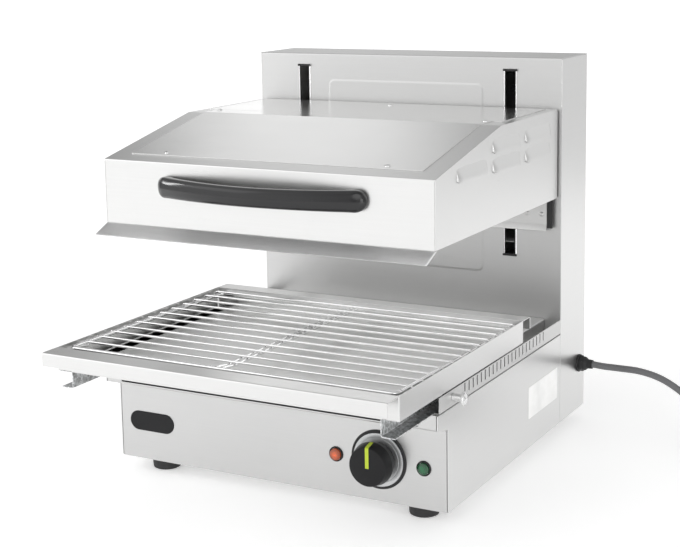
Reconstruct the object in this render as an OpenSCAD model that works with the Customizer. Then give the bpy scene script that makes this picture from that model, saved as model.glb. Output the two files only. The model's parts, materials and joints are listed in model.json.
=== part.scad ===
// Cheese melter with a lifting hood, built as an assembly of separate pieces.
// Millimetres, Z up, front towards -Y. The drawing frame has x = 0 in the middle of the body,
// y = 0 on the lower front panel and z = 0 on the underside of the base; put() moves it so that
// the middle of the whole, seen from above, is the origin and the feet stand on z = 0.

/* [Body] */
// Width over the side panels
body_w = 450; // [400:1:520]
// Height of the tower over the underside of the base
tower_h = 482; // [460:1:560]
// Depth from the lower front panel to the front of the tower
deck_d = 355; // [340:1:400]
// Depth of the tower
tower_d = 93; // [85:1:120]
// Height of the deck over the underside of the base
deck_z = 140; // [135:1:150]
// Thickness of the folded sheets
sheet_t = 1.2; // [0.8:0.1:1.5]
// Height of the feet
foot_h = 18; // [12:1:30]
// Diameter of the feet
foot_d = 38; // [25:1:45]
// Distance of the feet from the sides
foot_in = 45; // [30:1:60]
// Distance of the front feet from the front panel
foot_front = 32; // [24:1:50]
// Distance of the rear feet from the rear
foot_rear = 38; // [26:1:60]

/* [Nose and grooves] */
// How far the upper front stands out over the lower front panel
nose_out = 27; // [15:1:35]
// Height of the lower edge of the nose
nose_z = 103; // [95:1:110]
// Drop of the underside of the nose towards the panel
nose_drop = 6; // [3:1:12]
// Height of the ledge under the rail grooves
ledge_z = 121; // [117:1:124]
// Width of each rail groove with its outer wall
groove_w = 22.5; // [20:0.5:30]
// Setback of the grooves from the nose face
groove_back = 5; // [3:1:10]
// Number of vent slots in each groove wall
vent_count = 22; // [5:1:24]
// Spacing of the vent slots
vent_pitch = 11.7; // [8:0.1:12]
// Width of a vent slot
vent_w = 2.8; // [2:0.1:4]
// Height of a vent slot
vent_h = 12; // [8:0.5:13]
// Position of the first vent slot
vent_y = 45; // [35:1:60]

/* [Tower front] */
// Distance of the lift slots from the sides
slot_in = 71; // [65:1:80]
// Width of the hole cut for a lift slot
slot_cut_w = 16; // [15:0.5:18]
// Height of the lower end of the slots
slot_z0 = 222; // [215:1:226]
// Distance of the upper end of the slots from the top
slot_down = 17; // [16:1:26]
// Width over the slot trim
trim_w = 20; // [19:0.5:24]
// Width of the opening left in the slot liner
slot_open_w = 12.4; // [10:0.2:13]
// How far the slot trim stands out
trim_out = 1.2; // [0.8:0.1:1.6]
// Height of the black end bars of a slot
end_bar_h = 3; // [2:0.5:5]
// Distance of the pressed panel's sides from the middle of each slot
press_in = 41; // [36:1:60]
// Height of the lower edge of the pressed panel
press_z0 = 198; // [170:1:220]
// Distance of the pressed panel's upper edge from the top
press_down = 38; // [32:1:80]
// Corner radius of the pressed panel
press_r = 14; // [6:1:25]
// How far the pressed panel stands out
press_out = 0.8; // [0.4:0.1:1.2]

/* [Tower back] */
// Rows of louvres in the back cover
back_rows = 6; // [2:1:7]
// Spacing of the louvre rows
back_pitch = 26; // [22:1:30]
// Length of a back louvre
back_len = 120; // [60:1:140]
// Height of a back louvre
back_h = 11; // [8:0.5:14]
// How far the back louvres stand out
back_out = 3; // [2:0.5:5]
// Diameter of the cover screws
cover_screw_d = 8; // [6:0.5:10]

/* [Hood] */
// Distance of the hood's sides inside the body's sides
hood_side = 5; // [5:1:15]
// Height of the hood's lower edge over the deck
hood_up = 162; // [150:1:170]
// Height of the front face of the hood
hood_face_h = 77; // [70:1:90]
// Height of the flat top over the front edge
hood_rise = 38; // [25:1:45]
// Distance of the hood face in front of the lower panel
hood_out = 18; // [10:1:26]
// Position of the ridge between slope and flat top
ridge_y = 164; // [120:1:180]
// Gap between hood and tower
hood_gap = 3.5; // [3:0.5:6]
// Distance of the sloped cover's sides from the hood's sides
cover_in = 25; // [20:1:50]
// Position of the front edge of the sloped cover
cover_y0 = 4; // [0:1:20]
// Position of the rear edge of the sloped cover
cover_y1 = 196; // [185:1:210]
// Distance of the rear cover's sides from the hood's sides
rear_cover_in = 12; // [8:1:40]
// Distance of the rear cover's rear edge from the hood's rear
rear_cover_end = 9.5; // [6:0.5:50]
// Distance of the front cover screws from the cover's sides
cover_screw_in = 47; // [20:1:80]
// Thickness of the covers
cover_t = 1; // [0.8:0.1:1.5]
// Length of a side louvre
louvre_len = 83; // [60:1:90]
// Height of a side louvre
louvre_h = 18; // [12:0.5:19]
// How far the side louvres stand out
louvre_out = 4; // [2:0.5:4.5]
// How far the lip under the hood face reaches forward
flap_out = 24; // [12:1:30]
// How far the lip under the hood face drops
flap_drop = 11; // [5:1:15]
// Height of the lip's flange behind the face
flap_leg = 20; // [12:1:30]

/* [Handle] */
// Distance of the handle's ends from the hood's sides
handle_in = 81; // [70:1:110]
// How far the handle stands out
handle_out = 38; // [30:1:45]
// Thickness of the handle bar
handle_t = 16; // [12:0.5:20]
// Height of the handle bar
handle_bar_h = 20; // [16:0.5:24]
// Height of the handle ends
handle_end_h = 26; // [20:0.5:30]
// Height of the handle's middle over the hood's lower edge
handle_up = 49; // [40:1:55]
// Length of each handle end
handle_foot = 21; // [15:1:28]

/* [Tray and rails] */
// Distance of the tray's sides inside the body's sides
tray_side = 1; // [0.5:0.5:4]
// Position of the tray's front wall in front of the lower panel
tray_front = 118; // [100:1:125]
// Distance of the tray's rear wall in front of the tower
tray_rear_gap = 128; // [127:1:150]
// Depth of the tray
tray_h = 28; // [22:1:35]
// Depth of the front lip
lip_front = 27; // [20:1:32]
// Depth of the rear lip
lip_rear = 22; // [16:1:24]
// Height of the lips
lip_h = 16; // [10:1:20]
// Gap between deck and tray
tray_gap = 1; // [0.6:0.1:2]
// Width of a rail's lower flange
rail_flange = 16; // [10:0.5:16.5]
// Width of a rail's upper flange
rail_top = 18; // [10:0.5:18.5]
// Clearance of the rails in their grooves
rail_gap = 0.5; // [0.4:0.1:1]

/* [Grid] */
// Diameter of the cross wires
wire_d = 3; // [2:0.1:4]
// Diameter of the frame wires
frame_wire_d = 5; // [4:0.1:6]
// Distance of the grid's side wires inside the tray's sides
grid_side = 10; // [8:0.5:20]
// Distance of the front frame wire behind the tray's front wall
grid_front_in = 14; // [10:1:30]
// Distance of the rear frame wire in front of the tray's rear wall
grid_rear_in = 8; // [7:1:20]
// Height of the grid's top under the tray's rim
grid_down = 1.5; // [0:0.1:6]
// Distance of the last cross wire in front of the rear frame wire
wire_last = 7.3; // [5:0.1:30]
// Number of cross wires
wire_count = 12; // [4:1:12]
// Distance of the first cross wire from the front frame wire
wire_first = 33; // [15:0.5:36]

/* [Controls] */
// Distance of the dial from the right side
dial_in = 86.5; // [76:0.5:110]
// Height of the dial
dial_z = 50; // [42:0.5:55]
// Diameter of the dial ring
ring_d = 70; // [66:0.5:78]
// Diameter of the dial plate
dial_d = 62; // [58:0.5:65]
// Diameter of the knob
knob_d = 53; // [40:0.5:56]
// Length of the knob
knob_h = 27.5; // [18:0.5:32]
// Diameter of the thermostat shaft
shaft_d = 6; // [5:0.1:8]
// Distance of the heating lamp left of the dial
heat_off = 55.5; // [48:0.5:75]
// Distance of the power lamp right of the dial
power_off = 56.5; // [48:0.5:62]
// Height of the lamps
lamp_z = 48; // [35:0.5:60]
// Diameter of the lamp bezels
bezel_d = 18; // [16:0.5:22]
// Diameter of the lamp lenses
lens_d = 14; // [11:0.5:15]
// Distance of the nameplate's middle from the left side
name_in = 47.5; // [42:0.5:60]
// Height of the nameplate
name_z = 49; // [35:0.5:60]
// Length of the nameplate
name_l = 65; // [50:0.5:75]
// Height of the nameplate's face
name_h = 24.5; // [18:0.5:30]
// Length of the rating label
label_l = 101; // [60:1:101]
// Height of the rating label
label_h = 41; // [20:1:60]

/* [Thumb screw] */
// Position of the thumb screw
screw_y = 14; // [8:0.5:25]
// How far the thumb screw stands out
screw_out = 15; // [11:0.5:20]
// Diameter of its head
screw_head_d = 16; // [12:0.5:20]
// Diameter of its thread
screw_d = 6; // [5:0.5:8]

/* [Heating] */
// Diameter of the heating tubes
element_d = 8; // [6:0.5:9]
// Height of the heating tubes over the hood's lower edge
element_up = 20; // [14:1:24]
// Distance between the legs of one element
element_gap = 60; // [45:1:64]
// Position of the first element
element_y = 40; // [30:1:60]
// Distance from one element to the next
element_next = 130; // [110:1:135]
// Distance of the element tubes' straight ends inside the hood's side
element_end = 18; // [14:1:30]
// Distance of the outer brackets inside the hood's side
element_hold = 24; // [20:1:60]
// Distance of the bends from the hood's left side beyond the tubes' distance
element_bend_in = 15; // [8:1:30]
// How far the element brackets reach past the tubes
element_over = 15; // [8:1:20]
// Height of the reflector over the hood's lower edge
reflector_up = 43; // [36:1:44]
// Distance of the reflector in front of the hood arms
reflector_gap = 26; // [10:1:60]

/* [Lift mechanism] */
// Diameter of the guide rods
rod_d = 12; // [10:0.5:14]
// Distance of the rods behind the tower front
rod_back = 31; // [28:0.5:34]
// Thickness of the hood arms
arm_t = 5; // [3:0.5:6]
// Height of the hood arms
arm_h = 64; // [40:1:64]
// Height of the lower edge of the arms over the hood's lower edge
arm_up = 16; // [14:1:20]
// Diameter of the gas strut tubes
strut_d = 20; // [16:0.5:22]
// Diameter of the gas strut rods
strut_rod_d = 8; // [6:0.5:10]
// Distance of the gas struts from the middle
strut_x = 60; // [40:1:90]
// Length of the hood arms inside the hood
arm_in = 34; // [20:1:60]
// How far the arms' flanges reach inwards
flange_w0 = 19; // [12:1:22]
// How far the arms' flanges reach outwards
flange_w1 = 21; // [12:1:30]
// How far the hood brackets hang under the hood
bracket_drop = 44; // [30:1:50]
// Width of the hood brackets
bracket_w = 76; // [50:1:80]
// How far the brackets reach inwards of the arms
bracket_in = 23; // [21:1:30]
// How far the black strips hang under the hood
strip_drop = 40; // [20:1:44]
// Height of the black strips inside the hood
strip_up = 28; // [15:1:40]

/* [Cord] */
// Diameter of the cord
cord_d = 9; // [7:0.1:9.5]
// Position of the gland in front of the tower's rear
gland_back = 21; // [17:1:40]
// Height of the gland
gland_z = 63.5; // [50:0.5:80]
// Diameter of the gland's flange
gland_d = 24; // [22:0.5:28]
// Distance of the coil's middle from the body's side
coil_out = 245; // [240:1:260]
// Position of the coil's middle behind the lower panel
coil_y = 375; // [360:1:390]
// Distance of the plug in front of the coil's middle
plug_fwd = 47; // [44:1:60]

/* [Hidden] */

half_w = body_w / 2;
in_w = half_w - sheet_t;
tower_y = deck_d;
slot_x = half_w - slot_in;
slot_z1 = tower_h - slot_down;
hood_z = deck_z + hood_up;
dial_x = half_w - dial_in;
heat_x = dial_x - heat_off;
power_x = dial_x + power_off;
name_x = half_w - name_in;
tray_rear = tower_y - tray_rear_gap;
tray_hw = half_w - tray_side;
hood_hw = half_w - hood_side;
rear_y = deck_d + tower_d;
back_y = rear_y + back_out;
front_y = -tray_front - lip_front;
x_mid = screw_out / 2;
y_mid = (front_y + back_y) / 2;
fit = 0.3;
skin = 0.02;
far = 400;

module put() translate([-x_mid, -y_mid, foot_h]) children();
module box(a, b) translate(a) cube(b - a);
module flip(s) {
  if (s < 0) mirror([1, 0, 0]) children();
  else children();
}
module along_x(x0, x1) translate([x0, 0, 0]) rotate([90, 0, 90]) linear_extrude(x1 - x0) children();
module along_y(y0, y1) translate([0, y1, 0]) rotate([90, 0, 0]) linear_extrude(y1 - y0) children();
module rod_x(x0, x1, d) translate([x0, 0, 0]) rotate([0, 90, 0]) cylinder(h = x1 - x0, d = d, $fn = 48);
module rod_y(y0, y1, d) translate([0, y0, 0]) rotate([-90, 0, 0]) cylinder(h = y1 - y0, d = d, $fn = 48);
function nrm(a, b) = let (d = b - a, l = norm(d)) [-d[1] / l, d[0] / l];
function mitre(p, i, t) = i == 0 ? p[0] + t * nrm(p[0], p[1])
  : i == len(p) - 1 ? p[i] + t * nrm(p[i - 1], p[i])
  : let (a = nrm(p[i - 1], p[i]), b = nrm(p[i], p[i + 1])) p[i] + (a + b) * t / (1 + a * b);
function strip(p, t) = concat(p, [for (i = [len(p) - 1 : -1 : 0]) mitre(p, i, t)]);

// Base
groove_x = half_w - groove_w;
screw_z = (ledge_z + sheet_t + deck_z) / 2;
module base_front_panel() color("silver") put() difference() {
  union() {
    along_x(-in_w, in_w) polygon(strip([[0, 0], [0, nose_z - nose_drop], [-nose_out, nose_z],
      [-nose_out, ledge_z]], -sheet_t));
    box([sheet_t - groove_x, -nose_out, nose_z + sheet_t],
      [groove_x - sheet_t, sheet_t - nose_out, deck_z - sheet_t]);
  }
  translate([dial_x, 0, dial_z]) rod_y(-1, 2 * sheet_t, shaft_d + 2);
  for (x = [heat_x, power_x]) translate([x, 0, lamp_z]) rod_y(-1, 2 * sheet_t, stem_d + 2 * fit);
}
module base_side(s) color("silver") put() flip(s) {
  along_x(in_w, half_w) polygon([[0, 0], [0, nose_z - nose_drop], [-nose_out, nose_z],
    [-nose_out, ledge_z], [tower_y, ledge_z], [tower_y, 0]]);
  box([groove_x, sheet_t - nose_out, ledge_z - sheet_t], [half_w, tower_y, ledge_z]);
}
module base_side_left() base_side(-1);
module base_side_right() base_side(1);
module base_deck() color("lightgray") put() difference() {
  union() {
    along_y(groove_back - nose_out, tower_y) polygon(strip([[half_w, deck_z], [half_w, ledge_z],
      [groove_x - sheet_t, ledge_z], [groove_x - sheet_t, deck_z - sheet_t],
      [sheet_t - groove_x, deck_z - sheet_t], [sheet_t - groove_x, ledge_z],
      [-half_w, ledge_z], [-half_w, deck_z]], -sheet_t));
    box([-groove_x, -nose_out, deck_z - sheet_t], [groove_x, groove_back - nose_out + 1, deck_z]);
  }
  for (s = [-1, 1], i = [0 : vent_count - 1]) flip(s) translate([in_w - 1, vent_y + i * vent_pitch,
    deck_z - sheet_t - vent_h]) cube([sheet_t + 2, vent_w, vent_h]);
  translate([0, screw_y, screw_z]) rod_x(in_w - 1, half_w + 1, screw_d + 2 * fit);
}
module base_bottom() color("silver") put() box([-in_w, sheet_t, 0], [in_w, rear_y - sheet_t, sheet_t]);
foot_x = half_w - foot_in;
module feet() color("dimgray") put() for (s = [-1, 1], y = [foot_front, rear_y - foot_rear])
  translate([s * foot_x, y, -foot_h]) cylinder(h = foot_h, d1 = foot_d - 3, d2 = foot_d, $fn = 48);

// Nameplate, dial and lamps
dial_out = 2;
stem_d = lens_d - 3;
knob_y = dial_out + fit;
knob_edge = 2.5;
module nameplate_blank() color("black") put() along_y(-1, 0) translate([-name_x, name_z]) {
  square([name_l - name_h, name_h], center = true);
  for (e = [-1, 1]) translate([e * (name_l - name_h) / 2, 0]) circle(d = name_h, $fn = 48);
}
module on_dial() put() translate([dial_x, 0, dial_z]) children();
module dial_ring() color("black") on_dial() difference() {
  rod_y(-1.4, 0, ring_d);
  rod_y(-3, 1, dial_d + 2 * fit);
}
module dial_plate() color("silver") on_dial() difference() {
  rod_y(-dial_out, 0, dial_d);
  rod_y(-3, 1, shaft_d + 2);
}
module thermostat() color("tan") on_dial() difference() {
  box([-24, sheet_t, -24], [24, sheet_t + 30, 24]);
  rod_y(0, sheet_t + 16, shaft_d + 2 * fit);
}
module thermostat_shaft() color("silver") on_dial() rod_y(-knob_y - knob_h + 8, sheet_t + 14, shaft_d);
module knob() color("black") on_dial() rotate([90, 0, 0]) difference() {
  translate([0, 0, knob_y]) union() {
    cylinder(h = knob_h - knob_edge, d = knob_d, $fn = 96);
    translate([0, 0, knob_h - knob_edge]) cylinder(h = knob_edge, d1 = knob_d,
      d2 = knob_d - 2 * knob_edge, $fn = 96);
  }
  cylinder(h = knob_y + knob_h - 7, d = shaft_d + 2 * fit, $fn = 48);
}
module knob_pointer() color("yellow") on_dial() along_x(-1.25, 1.25) polygon(strip([
  [-knob_y - knob_h, -4], [-knob_y - knob_h, knob_d / 2 - knob_edge],
  [knob_edge - knob_y - knob_h, knob_d / 2], [9 - knob_y - knob_h, knob_d / 2]], fit));
module lamp_bezels() color("dimgray") put() for (x = [heat_x, power_x]) translate([x, 0, lamp_z])
  difference() {
    rod_y(-2, 0, bezel_d);
    rod_y(-3, 1, lens_d + 2 * fit);
  }
module lens(x) put() translate([x, 0, lamp_z]) {
  rod_y(-3.2, 0, lens_d);
  translate([0, -3.2, 0]) rotate([90, 0, 0]) cylinder(h = 1.6, d1 = lens_d, d2 = lens_d - 5, $fn = 48);
  rod_y(-1, sheet_t + 14, stem_d);
}
module heating_lamp_lens() color("orangered") lens(heat_x);
module power_lamp_lens() color("green") lens(power_x);
module rating_label() color("white") put() translate([half_w, tower_y - 12 - label_l, 38])
  cube([fit, label_l, label_h]);
module terminal_block() color("ivory") put() translate([half_w - 70, rear_y - 60, sheet_t])
  cube([36, 30, 24]);

// Thumb screw that locks the tray's rail
rail_x = groove_x + rail_gap;
nut_t = 4;
module screw_nut() color("silver") put() translate([0, screw_y, screw_z]) difference() {
  translate([in_w - nut_t, 0, 0]) rotate([0, 90, 0]) cylinder(h = nut_t, d = screw_d + 5.5, $fn = 6);
  rod_x(in_w - nut_t - 1, in_w + 1, screw_d + 2 * fit);
}
module thumb_screw() color("silver") put() translate([0, screw_y, screw_z]) {
  rod_x(rail_x + sheet_t + 0.8, half_w + 2, screw_d);
  translate([half_w + fit, 0, 0]) rotate([0, 90, 0])
    cylinder(h = screw_out - fit - 3, d1 = screw_d + 4, d2 = screw_d + 2, $fn = 48);
  rod_x(half_w + screw_out - 3.5, half_w + screw_out, screw_head_d);
}

// Drip tray on two rails
tray_z = deck_z + tray_gap;
tray_top = tray_z + tray_h;
module tray_pan() color("silver") put() union() {
  difference() {
    box([-tray_hw, -tray_front, tray_z], [tray_hw, tray_rear, tray_top]);
    box([sheet_t - tray_hw, sheet_t - tray_front, tray_z + sheet_t],
      [tray_hw - sheet_t, tray_rear - sheet_t, tray_top + 1]);
  }
  along_x(-tray_hw, tray_hw) polygon(strip([[sheet_t / 2 - tray_front, tray_top],
    [front_y, tray_top], [front_y, tray_top - lip_h]], sheet_t));
  along_x(-tray_hw, tray_hw) polygon(strip([[tray_rear - sheet_t / 2, tray_top],
    [tray_rear + lip_rear, tray_top], [tray_rear + lip_rear, tray_top - lip_h]], -sheet_t));
}
rail_z = ledge_z + sheet_t + fit;
module tray_rail(s) color("gray") put() flip(s) along_y(-tray_front, tray_rear)
  polygon([[rail_x, rail_z], [rail_x + rail_flange, rail_z], [rail_x + rail_flange, rail_z + sheet_t],
    [rail_x + sheet_t, rail_z + sheet_t], [rail_x + sheet_t, tray_z - sheet_t],
    [rail_x + rail_top, tray_z - sheet_t], [rail_x + rail_top, tray_z], [rail_x, tray_z]]);
module tray_rail_left() tray_rail(-1);
module tray_rail_right() tray_rail(1);

// Wire grid standing in the tray on four legs
weld_gap = 0.05;
grid_hw = tray_hw - grid_side;
grid_front = tray_front - grid_front_in;
grid_rear = tray_rear - grid_rear_in;
wire_pitch = (grid_front + grid_rear - wire_first - wire_last) / (wire_count - 1);
wire_z = tray_top - grid_down - wire_d / 2;
frame_z = wire_z - (wire_d + frame_wire_d) / 2 - weld_gap;
module wire(l, d) cylinder(h = l, d = d, $fn = 24);
module cross_wire(y, z, hw, d) translate([-hw, y, z]) rotate([0, 90, 0]) wire(2 * hw, d);
side_wire_d = frame_wire_d - 1;
module long_wire(x) translate([x, -grid_front, frame_z + (frame_wire_d - side_wire_d) / 2])
  rotate([-90, 0, 0]) wire(grid_front + grid_rear, side_wire_d);
module grid_frame() color("silver") put() union() {
  for (y = [-grid_front, grid_rear]) cross_wire(y, frame_z, grid_hw + frame_wire_d / 2, frame_wire_d);
  for (x = [-grid_hw, -12, -4, grid_hw]) long_wire(x);
  for (x = [-grid_hw, grid_hw], y = [-grid_front, grid_rear]) translate([x, y, tray_z + sheet_t])
    wire(frame_z - tray_z - sheet_t, frame_wire_d - 0.5);
}
module grid_wires() color("silver") put() for (i = [0 : wire_count - 1])
  cross_wire(wire_first - grid_front + i * wire_pitch, wire_z, grid_hw + frame_wire_d / 2 + 1, wire_d);

// Tower
module pad(hw, z0, z1, r) {
  translate([-hw + r, z0]) square([2 * (hw - r), z1 - z0]);
  translate([-hw, z0 + r]) square([2 * hw, z1 - z0 - 2 * r]);
  for (x = [r - hw, hw - r], z = [z0 + r, z1 - r]) translate([x, z]) circle(r = r, $fn = 32);
}
press_hw = slot_x - press_in;
press_z1 = tower_h - press_down;
module tower_front() color("silver") put() difference() {
  union() {
    box([-in_w, tower_y, sheet_t], [in_w, tower_y + sheet_t, tower_h]);
    box([-half_w, tower_y, tower_h - sheet_t], [half_w, rear_y, tower_h]);
    along_y(tower_y - press_out, tower_y + sheet_t / 2) pad(press_hw, press_z0, press_z1, press_r);
  }
  along_y(tower_y + sheet_t - press_out, tower_y + 2 * sheet_t)
    pad(press_hw - sheet_t, press_z0 + sheet_t, press_z1 - sheet_t, press_r - sheet_t);
  for (s = [-1, 1]) flip(s) translate([slot_x - slot_cut_w / 2, tower_y - 1, slot_z0])
    cube([slot_cut_w, sheet_t + 2, slot_z1 - slot_z0]);
  box([-40, tower_y - 1, 10], [40, tower_y + 2 * sheet_t, 60]);
}
module tower_side(s) color("silver") put() flip(s)
  box([in_w, tower_y, 0], [half_w, rear_y, tower_h - sheet_t]);
gland_y = rear_y - gland_back;
thread_d = gland_d - 8;
module tower_side_left() tower_side(-1);
module tower_side_right() difference() {
  tower_side(1);
  on_gland() rod_x(in_w - 1, half_w + 1, thread_d + 2 * fit);
}
louvre_skin = 0.9;
module louvre_outer(h, out) polygon([[-sheet_t / 2, 0], [out, 0], [out, h / 4], [0, h], [-sheet_t / 2, h]]);
module louvre_inner(h, out) polygon([[-2 * sheet_t, -1], [out - louvre_skin, -1],
  [out - louvre_skin, h / 4 - louvre_skin / 2], [0, h - 3 * louvre_skin],
  [-2 * sheet_t, h - 3 * louvre_skin]]);
module tower_back_cover() color("silver") put() difference() {
  union() {
    box([-in_w, rear_y - sheet_t, 0], [in_w, rear_y, tower_h - sheet_t]);
    for (x = [-1.15, 0.15], i = [0 : back_rows - 1]) along_x(x * back_len, (x + 1) * back_len)
      translate([rear_y, deck_z + i * back_pitch]) louvre_outer(back_h, back_out);
  }
  for (x = [-1.15, 0.15], i = [0 : back_rows - 1])
    along_x(x * back_len + sheet_t, (x + 1) * back_len - sheet_t)
      translate([rear_y, deck_z + i * back_pitch]) louvre_inner(back_h, back_out);
}
module tower_cover_screws() color("gray") put() for (s = [-1, 1], z = [0.05, 0.5, 0.95])
  translate([s * (in_w - 12), 0, z * (tower_h - sheet_t)]) rod_y(rear_y, rear_y + 2, cover_screw_d);
slot_end = slot_z0 - 2;
slot_top = slot_z1 + 2;
module slot_trim(s) color("gainsboro") put() flip(s) translate([slot_x, 0, 0]) difference() {
  box([-trim_w / 2, tower_y - trim_out, slot_end], [trim_w / 2, tower_y, slot_top]);
  box([-slot_open_w / 2, tower_y - 3, slot_end + end_bar_h],
    [slot_open_w / 2, tower_y + 1, slot_top - end_bar_h]);
}
module slot_trim_left() slot_trim(-1);
module slot_trim_right() slot_trim(1);
module slot_end_bars() color("black") put() for (s = [-1, 1], z = [slot_end, slot_top - end_bar_h])
  translate([s * slot_x - trim_w / 2, tower_y - trim_out - 0.8, z]) cube([trim_w, 0.8, end_bar_h]);

// Lift mechanism in the tower
lift_up = 60;
lift_down = 85;
hood_rear = tower_y - hood_gap;
cover_hw = hood_hw - cover_in;
rear_cover_hw = hood_hw - rear_cover_in;
rear_cover_y1 = hood_rear - rear_cover_end;
handle_hl = hood_hw - handle_in;
arm_z = hood_z + arm_up;
guide_y = tower_y + rod_back;
block_w = rod_d + 16;
block_z = arm_z + 4;
block_top = arm_z + arm_h - 6;
clamp_h = 12;
clamp_z = [slot_z0 - 2 - clamp_h, slot_z1 + 2];
module guide_rod(s) color("silver") put() translate([s * slot_x, guide_y, clamp_z[0] - 2])
  cylinder(h = clamp_z[1] + clamp_h - clamp_z[0] + 2, d = rod_d, $fn = 48);
module guide_rod_left() guide_rod(-1);
module guide_rod_right() guide_rod(1);
module guide_bore(z0, z1) translate([0, guide_y, z0]) cylinder(h = z1 - z0, d = rod_d + 2 * fit, $fn = 48);
module rod_clamps() color("gray") put() for (s = [-1, 1], z = clamp_z)
  translate([s * slot_x, 0, 0]) difference() {
    box([-block_w / 2, tower_y + sheet_t, z], [block_w / 2, guide_y + rod_d, z + clamp_h]);
    guide_bore(z - 1, z + clamp_h + 1);
  }
module stop_collars() color("silver") put() for (s = [-1, 1]) translate([s * slot_x, 0, 0]) difference() {
  translate([0, guide_y, block_top + lift_up + 1]) cylinder(h = 6, d = rod_d + 10, $fn = 48);
  guide_bore(block_top + lift_up, block_top + lift_up + 8);
}
block_back = guide_y + block_w / 2;
lug_z = block_z + 13;
strut_y = block_back + 18;
strut_spare = 35;
tube_top = lug_z - lift_down - strut_spare;
rod_foot = tube_top - lift_up - strut_spare + 5;
module carriage() color("gray") put() {
  for (s = [-1, 1]) translate([s * slot_x, 0, 0]) difference() {
    box([-block_w / 2, guide_y - block_w / 2, block_z], [block_w / 2, block_back, block_top]);
    guide_bore(block_z - 1, block_top + 1);
  }
  box([block_w / 2 - slot_x - 1, block_back - 6, block_z + 8],
    [slot_x - block_w / 2 + 1, block_back, block_z + 48]);
  for (s = [-1, 1]) translate([s * strut_x - 10, block_back - 1, lug_z]) cube([20, 29, 12]);
}
module strut_tubes() color("dimgray") put() for (s = [-1, 1]) translate([s * strut_x, strut_y, 0])
  difference() {
    union() {
      translate([0, 0, sheet_t]) cylinder(h = 18, d = strut_d + 10, $fn = 48);
      translate([0, 0, sheet_t]) cylinder(h = tube_top - sheet_t, d = strut_d, $fn = 48);
    }
    translate([0, 0, rod_foot - lift_down - 10]) cylinder(h = far, d = strut_rod_d + 2 * fit, $fn = 48);
  }
module strut_rods() color("silver") put() for (s = [-1, 1]) translate([s * strut_x, strut_y, rod_foot])
  cylinder(h = lug_z - rod_foot, d = strut_rod_d, $fn = 48);

// Hood arms and the brackets that carry the hood
bracket_t = 1.5;
bracket_y = hood_rear - sheet_t;
flange_t = 3;
arm_front = bracket_y - bracket_t - flange_t - arm_in;
module arm_hole(y0, y1) translate([slot_x, 0, 0])
  box([-arm_t / 2 - 1, y0, arm_z - 1], [arm_t / 2 + 1, y1, arm_z + arm_h + 1]);
module hood_arm(s) color("gray") put() flip(s) translate([slot_x, 0, 0]) {
  box([-arm_t / 2, arm_front, arm_z], [arm_t / 2, guide_y - block_w / 2, arm_z + arm_h]);
  box([-flange_w0, bracket_y - bracket_t - flange_t, arm_z],
    [flange_w1, bracket_y - bracket_t, arm_z + arm_h]);
}
module hood_arm_left() hood_arm(-1);
module hood_arm_right() hood_arm(1);
bracket_x0 = slot_x - bracket_in;
bracket_x1 = bracket_x0 + bracket_w;
module hood_bracket(s) color("silver") put() flip(s) difference() {
  union() {
    along_x(bracket_x0, bracket_x1) polygon(strip([[bracket_y, arm_z + arm_h + 6],
      [bracket_y, hood_z - bracket_drop + 9], [bracket_y - 3, hood_z - bracket_drop]], -bracket_t));
    for (x = [49, 69]) translate([bracket_x0 + x, 0, hood_z - bracket_drop / 2])
      rod_y(bracket_y - bracket_t - 1, bracket_y - bracket_t / 2, 6);
  }
  arm_hole(bracket_y - 9, bracket_y + 1);
}
module hood_bracket_left() hood_bracket(-1);
module hood_bracket_right() hood_bracket(1);
module hood_strips() color("black") put() for (s = [-1, 1]) flip(s)
  box([bracket_x1, bracket_y - 2, hood_z - strip_drop], [bracket_x1 + 8, bracket_y, hood_z + strip_up]);

// Hood
hood_in = hood_hw - sheet_t;
hood_edge = hood_z + hood_face_h;
hood_top = hood_edge + hood_rise;
slope_a = atan(hood_rise / (ridge_y + hood_out));
hood_line = [[-hood_out, hood_z], [-hood_out, hood_edge], [ridge_y, hood_top],
  [hood_rear, hood_top], [hood_rear, hood_z]];
side_louvres = [[37, 64], [138, 61], [138, 84], [240, 60], [240, 84]];
function slope_z(y) = hood_edge + (y + hood_out) * tan(slope_a);
module hood_louvres(end) for (p = side_louvres)
  along_y(p[0] + end, p[0] + louvre_len - end) translate([hood_hw, hood_z + p[1]]) children();
module hood_shell() color("silver") put() difference() {
  union() {
    along_x(-hood_hw, hood_hw) polygon(strip(hood_line, -sheet_t));
    for (s = [-1, 1]) flip(s) {
      along_x(hood_in, hood_hw) polygon(hood_line);
      hood_louvres(0) louvre_outer(louvre_h, louvre_out);
    }
  }
  for (s = [-1, 1]) flip(s) {
    hood_louvres(sheet_t) louvre_inner(louvre_h, louvre_out);
    arm_hole(hood_rear - 2 * sheet_t, hood_rear + 1);
  }
}
module hood_slope_cover() color("gainsboro") put() along_x(-cover_hw, cover_hw)
  polygon(strip([[cover_y0, slope_z(cover_y0) + skin], [ridge_y, hood_top + skin],
    [cover_y1, hood_top + skin]], cover_t));
module hood_rear_cover() color("gainsboro") put()
  box([-rear_cover_hw, cover_y1 + fit, hood_top], [rear_cover_hw, rear_cover_y1, hood_top + cover_t]);
module screw_head(d) cylinder(h = 1.6, d = d, $fn = 32);
handle_z = hood_z + handle_up;
module hood_screws() color("gray") put() {
  for (s = [-1, 1]) {
    translate([s * (cover_hw - cover_screw_in), cover_y0 + 8, slope_z(cover_y0 + 8)]) rotate([slope_a, 0, 0])
      translate([0, 0, cover_t + 2 * skin]) screw_head(7);
    translate([s * (cover_hw - 6), cover_y1 - 6, hood_top + cover_t + 2 * skin]) screw_head(7);
    translate([s * (handle_hl - handle_foot / 2), sheet_t - hood_out, handle_z]) rotate([-90, 0, 0])
      screw_head(8);
  }
  translate([0, rear_cover_y1 - 28, hood_top + cover_t]) screw_head(7);
}
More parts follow.
